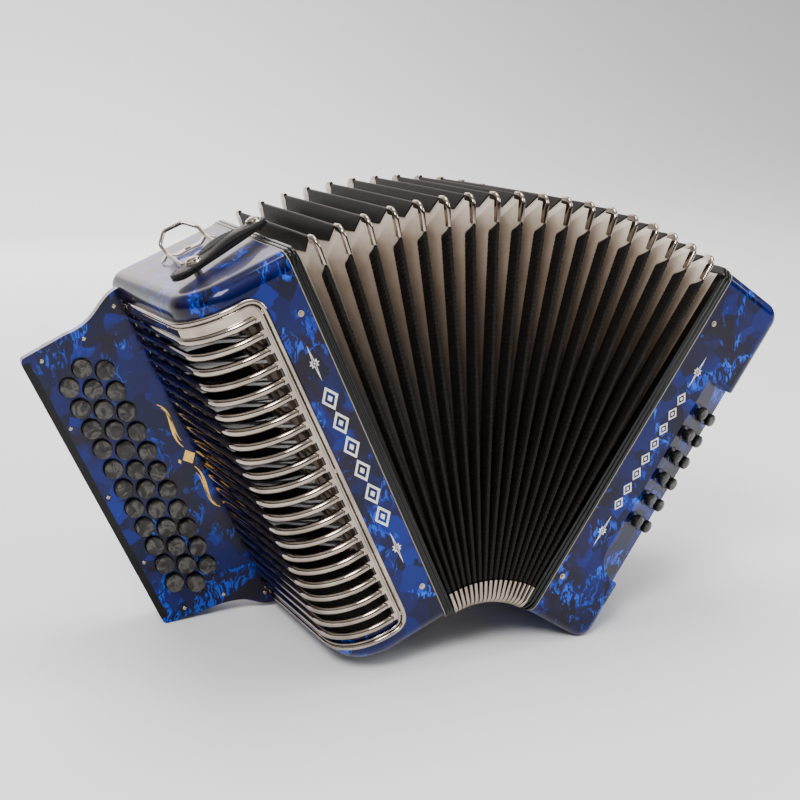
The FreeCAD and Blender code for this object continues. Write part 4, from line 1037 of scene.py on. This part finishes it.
SLOPE = math.radians(22)
FACE_START = 41
BASS_COLUMNS = {"bass_buttons_front": 49.4, "bass_buttons_rear": 64.4}
BASS_HEIGHTS = [105 + 20 * n for n in range(6)]
for name in ("bass_buttons_front", "bass_buttons_rear", "air_button"):
    finish_node(name, black)
finish_node("bass_pins", chrome)


def on_slope(x, z, lift):
    """Placement on the slanted face: local Z points out of it."""
    spot = Vector((x, (x - FACE_START) * math.tan(SLOPE), z))
    spot += Vector((math.sin(SLOPE), -math.cos(SLOPE), 0)) * lift
    return BASS @ Matrix.Translation(spot * MM) @ Matrix.Rotation(SLOPE, 4, "Z") @ BACK_AND_UP


for body, x in BASS_COLUMNS.items():
    shell = turned_button(f"{body}_shells", 0.0052, 0.0035, 0.0, black)
    tops = turned_button(f"{body}_tops", 0.0044, 0.0009, 0.0006, button_grey)
    shells = copies(shell, [on_slope(x, z, 3.2) for z in BASS_HEIGHTS], f"{body}_shells")
    tops = copies(tops, [on_slope(x, z, 6.6) for z in BASS_HEIGHTS], f"{body}_tops")
    own(shells, body, "button_grey")
    own(tops, body, "button_grey")
# A black ring round each bass button is painted shade: the dark of its hole and the shadow round the button.
hole_shade_section = ((0.0054, -0.0003), (0.0062, -0.0003), (0.0062, 0.0002), (0.0060, 0.0004), (0.0054, 0.0004))
rings = [[Vector((r * math.cos(a), r * math.sin(a), z)) for r, z in hole_shade_section]
         for a in (math.tau * k / 32 for k in range(32))]
hole_shade_ring = skin("hole_shade_ring", rings, black, capped=False)
smooth(hole_shade_ring, 40)
hole_shade_rings = copies(hole_shade_ring, [on_slope(x, z, 0.0) for x in BASS_COLUMNS.values() for z in BASS_HEIGHTS],
                 "bass_button_hole_shades")
own(hole_shade_rings, "bass", "black_lacquer")
air = turned_button("air_button_top", 0.0071, 0.0040, 0.0008, button_grey)
AIR_SPOT = Vector((75.3, 40, 262)) * MM
OUTWARD = Matrix.Rotation(math.pi / 2, 4, "Y")
air.data.transform(BASS @ Matrix.Translation(AIR_SPOT) @ OUTWARD)
own(air, "air_button", "button_grey")

STRAP_LOW, STRAP_SPAN, STRAP_BOW, STRAP_FACE = 45, 220, 26, 72
arc_radius = (STRAP_BOW ** 2 + (STRAP_SPAN / 2) ** 2) / (2 * STRAP_BOW)
arc_half = math.asin(STRAP_SPAN / 2 / arc_radius)


def on_band(share, y, lift):
    """Point over the hand strap's inner face, part way up its bow."""
    turn = -arc_half + 2 * arc_half * share
    reach = arc_radius + lift
    x = STRAP_FACE + STRAP_BOW - arc_radius + reach * math.cos(turn)
    z = STRAP_LOW + STRAP_SPAN / 2 + reach * math.sin(turn)
    return BASS @ (Vector((x, y, z)) * MM)


band_section = [(68.0, 1.5), (68.4, 0.5), (70, 0.1), (82, -0.1), (109, -0.1), (121, 0.1), (122.6, 0.5),
                (123.0, 1.5), (122.6, 2.6), (121.3, 3.0), (118.5, 2.8), (116, 3.3), (105, 4.2), (95.5, 4.5),
                (86, 4.2), (75, 3.3), (72.5, 2.8), (69.7, 3.0), (68.4, 2.6)]
rings = []
for k in range(41):
    puff = min(1.0, 6 * k / 40, 6 * (40 - k) / 40)
    rings.append([on_band(0.012 + 0.976 * k / 40, y, lift if lift <= 3 else 3 + (lift - 3) * puff)
                  for y, lift in band_section])
band = skin("hand_strap_leather", rings, leather)
smooth(band, 50)
own(band, "bass", "leather", "bass_hand_strap")
bow_middle = BASS @ (Vector((STRAP_FACE - 200, 95, 155)) * MM)
sewn = []
for number, y in enumerate((72.5, 118.5)):
    path = [on_band(0.03 + 0.94 * k / 80, y, 3.05) / MM for k in range(81)]
    sewn.append(stitches(f"hand_strap_seam_{number}", path,
                         lambda spot: (spot * MM - bow_middle).normalized(), 2.6, 1.6))
own(joined(sewn, "hand_strap_stitching"), "bass", "leather")
clamps = []
for number, z in enumerate((STRAP_LOW - 2, STRAP_LOW + STRAP_SPAN - 10)):
    bpy.ops.object.select_all(action="DESELECT")
    bpy.ops.mesh.primitive_cube_add(size=1)
    clamp = bpy.context.object
    clamp.data.transform(Matrix.Diagonal((0.005, 0.058, 0.011, 1)))
    apply_bevel(clamp, 0.0012, 3)
    clamp.data.transform(BASS @ Matrix.Translation(Vector((STRAP_FACE + 3.2, 95.5, z + 5.5)) * MM))
    clamp.data.materials.append(chrome)
    clamps.append(clamp)
    for y in (78, 113):
        head = turned_button("clamp_screw", 0.0026, 0.0012, 0.0004, chrome)
        head.data.transform(BASS @ Matrix.Translation(Vector((STRAP_FACE + 5.6, y, z + 5.5)) * MM)
                            @ OUTWARD)
        clamps.append(head)
own(joined(clamps, "hand_strap_clamps"), "bass", "chrome")
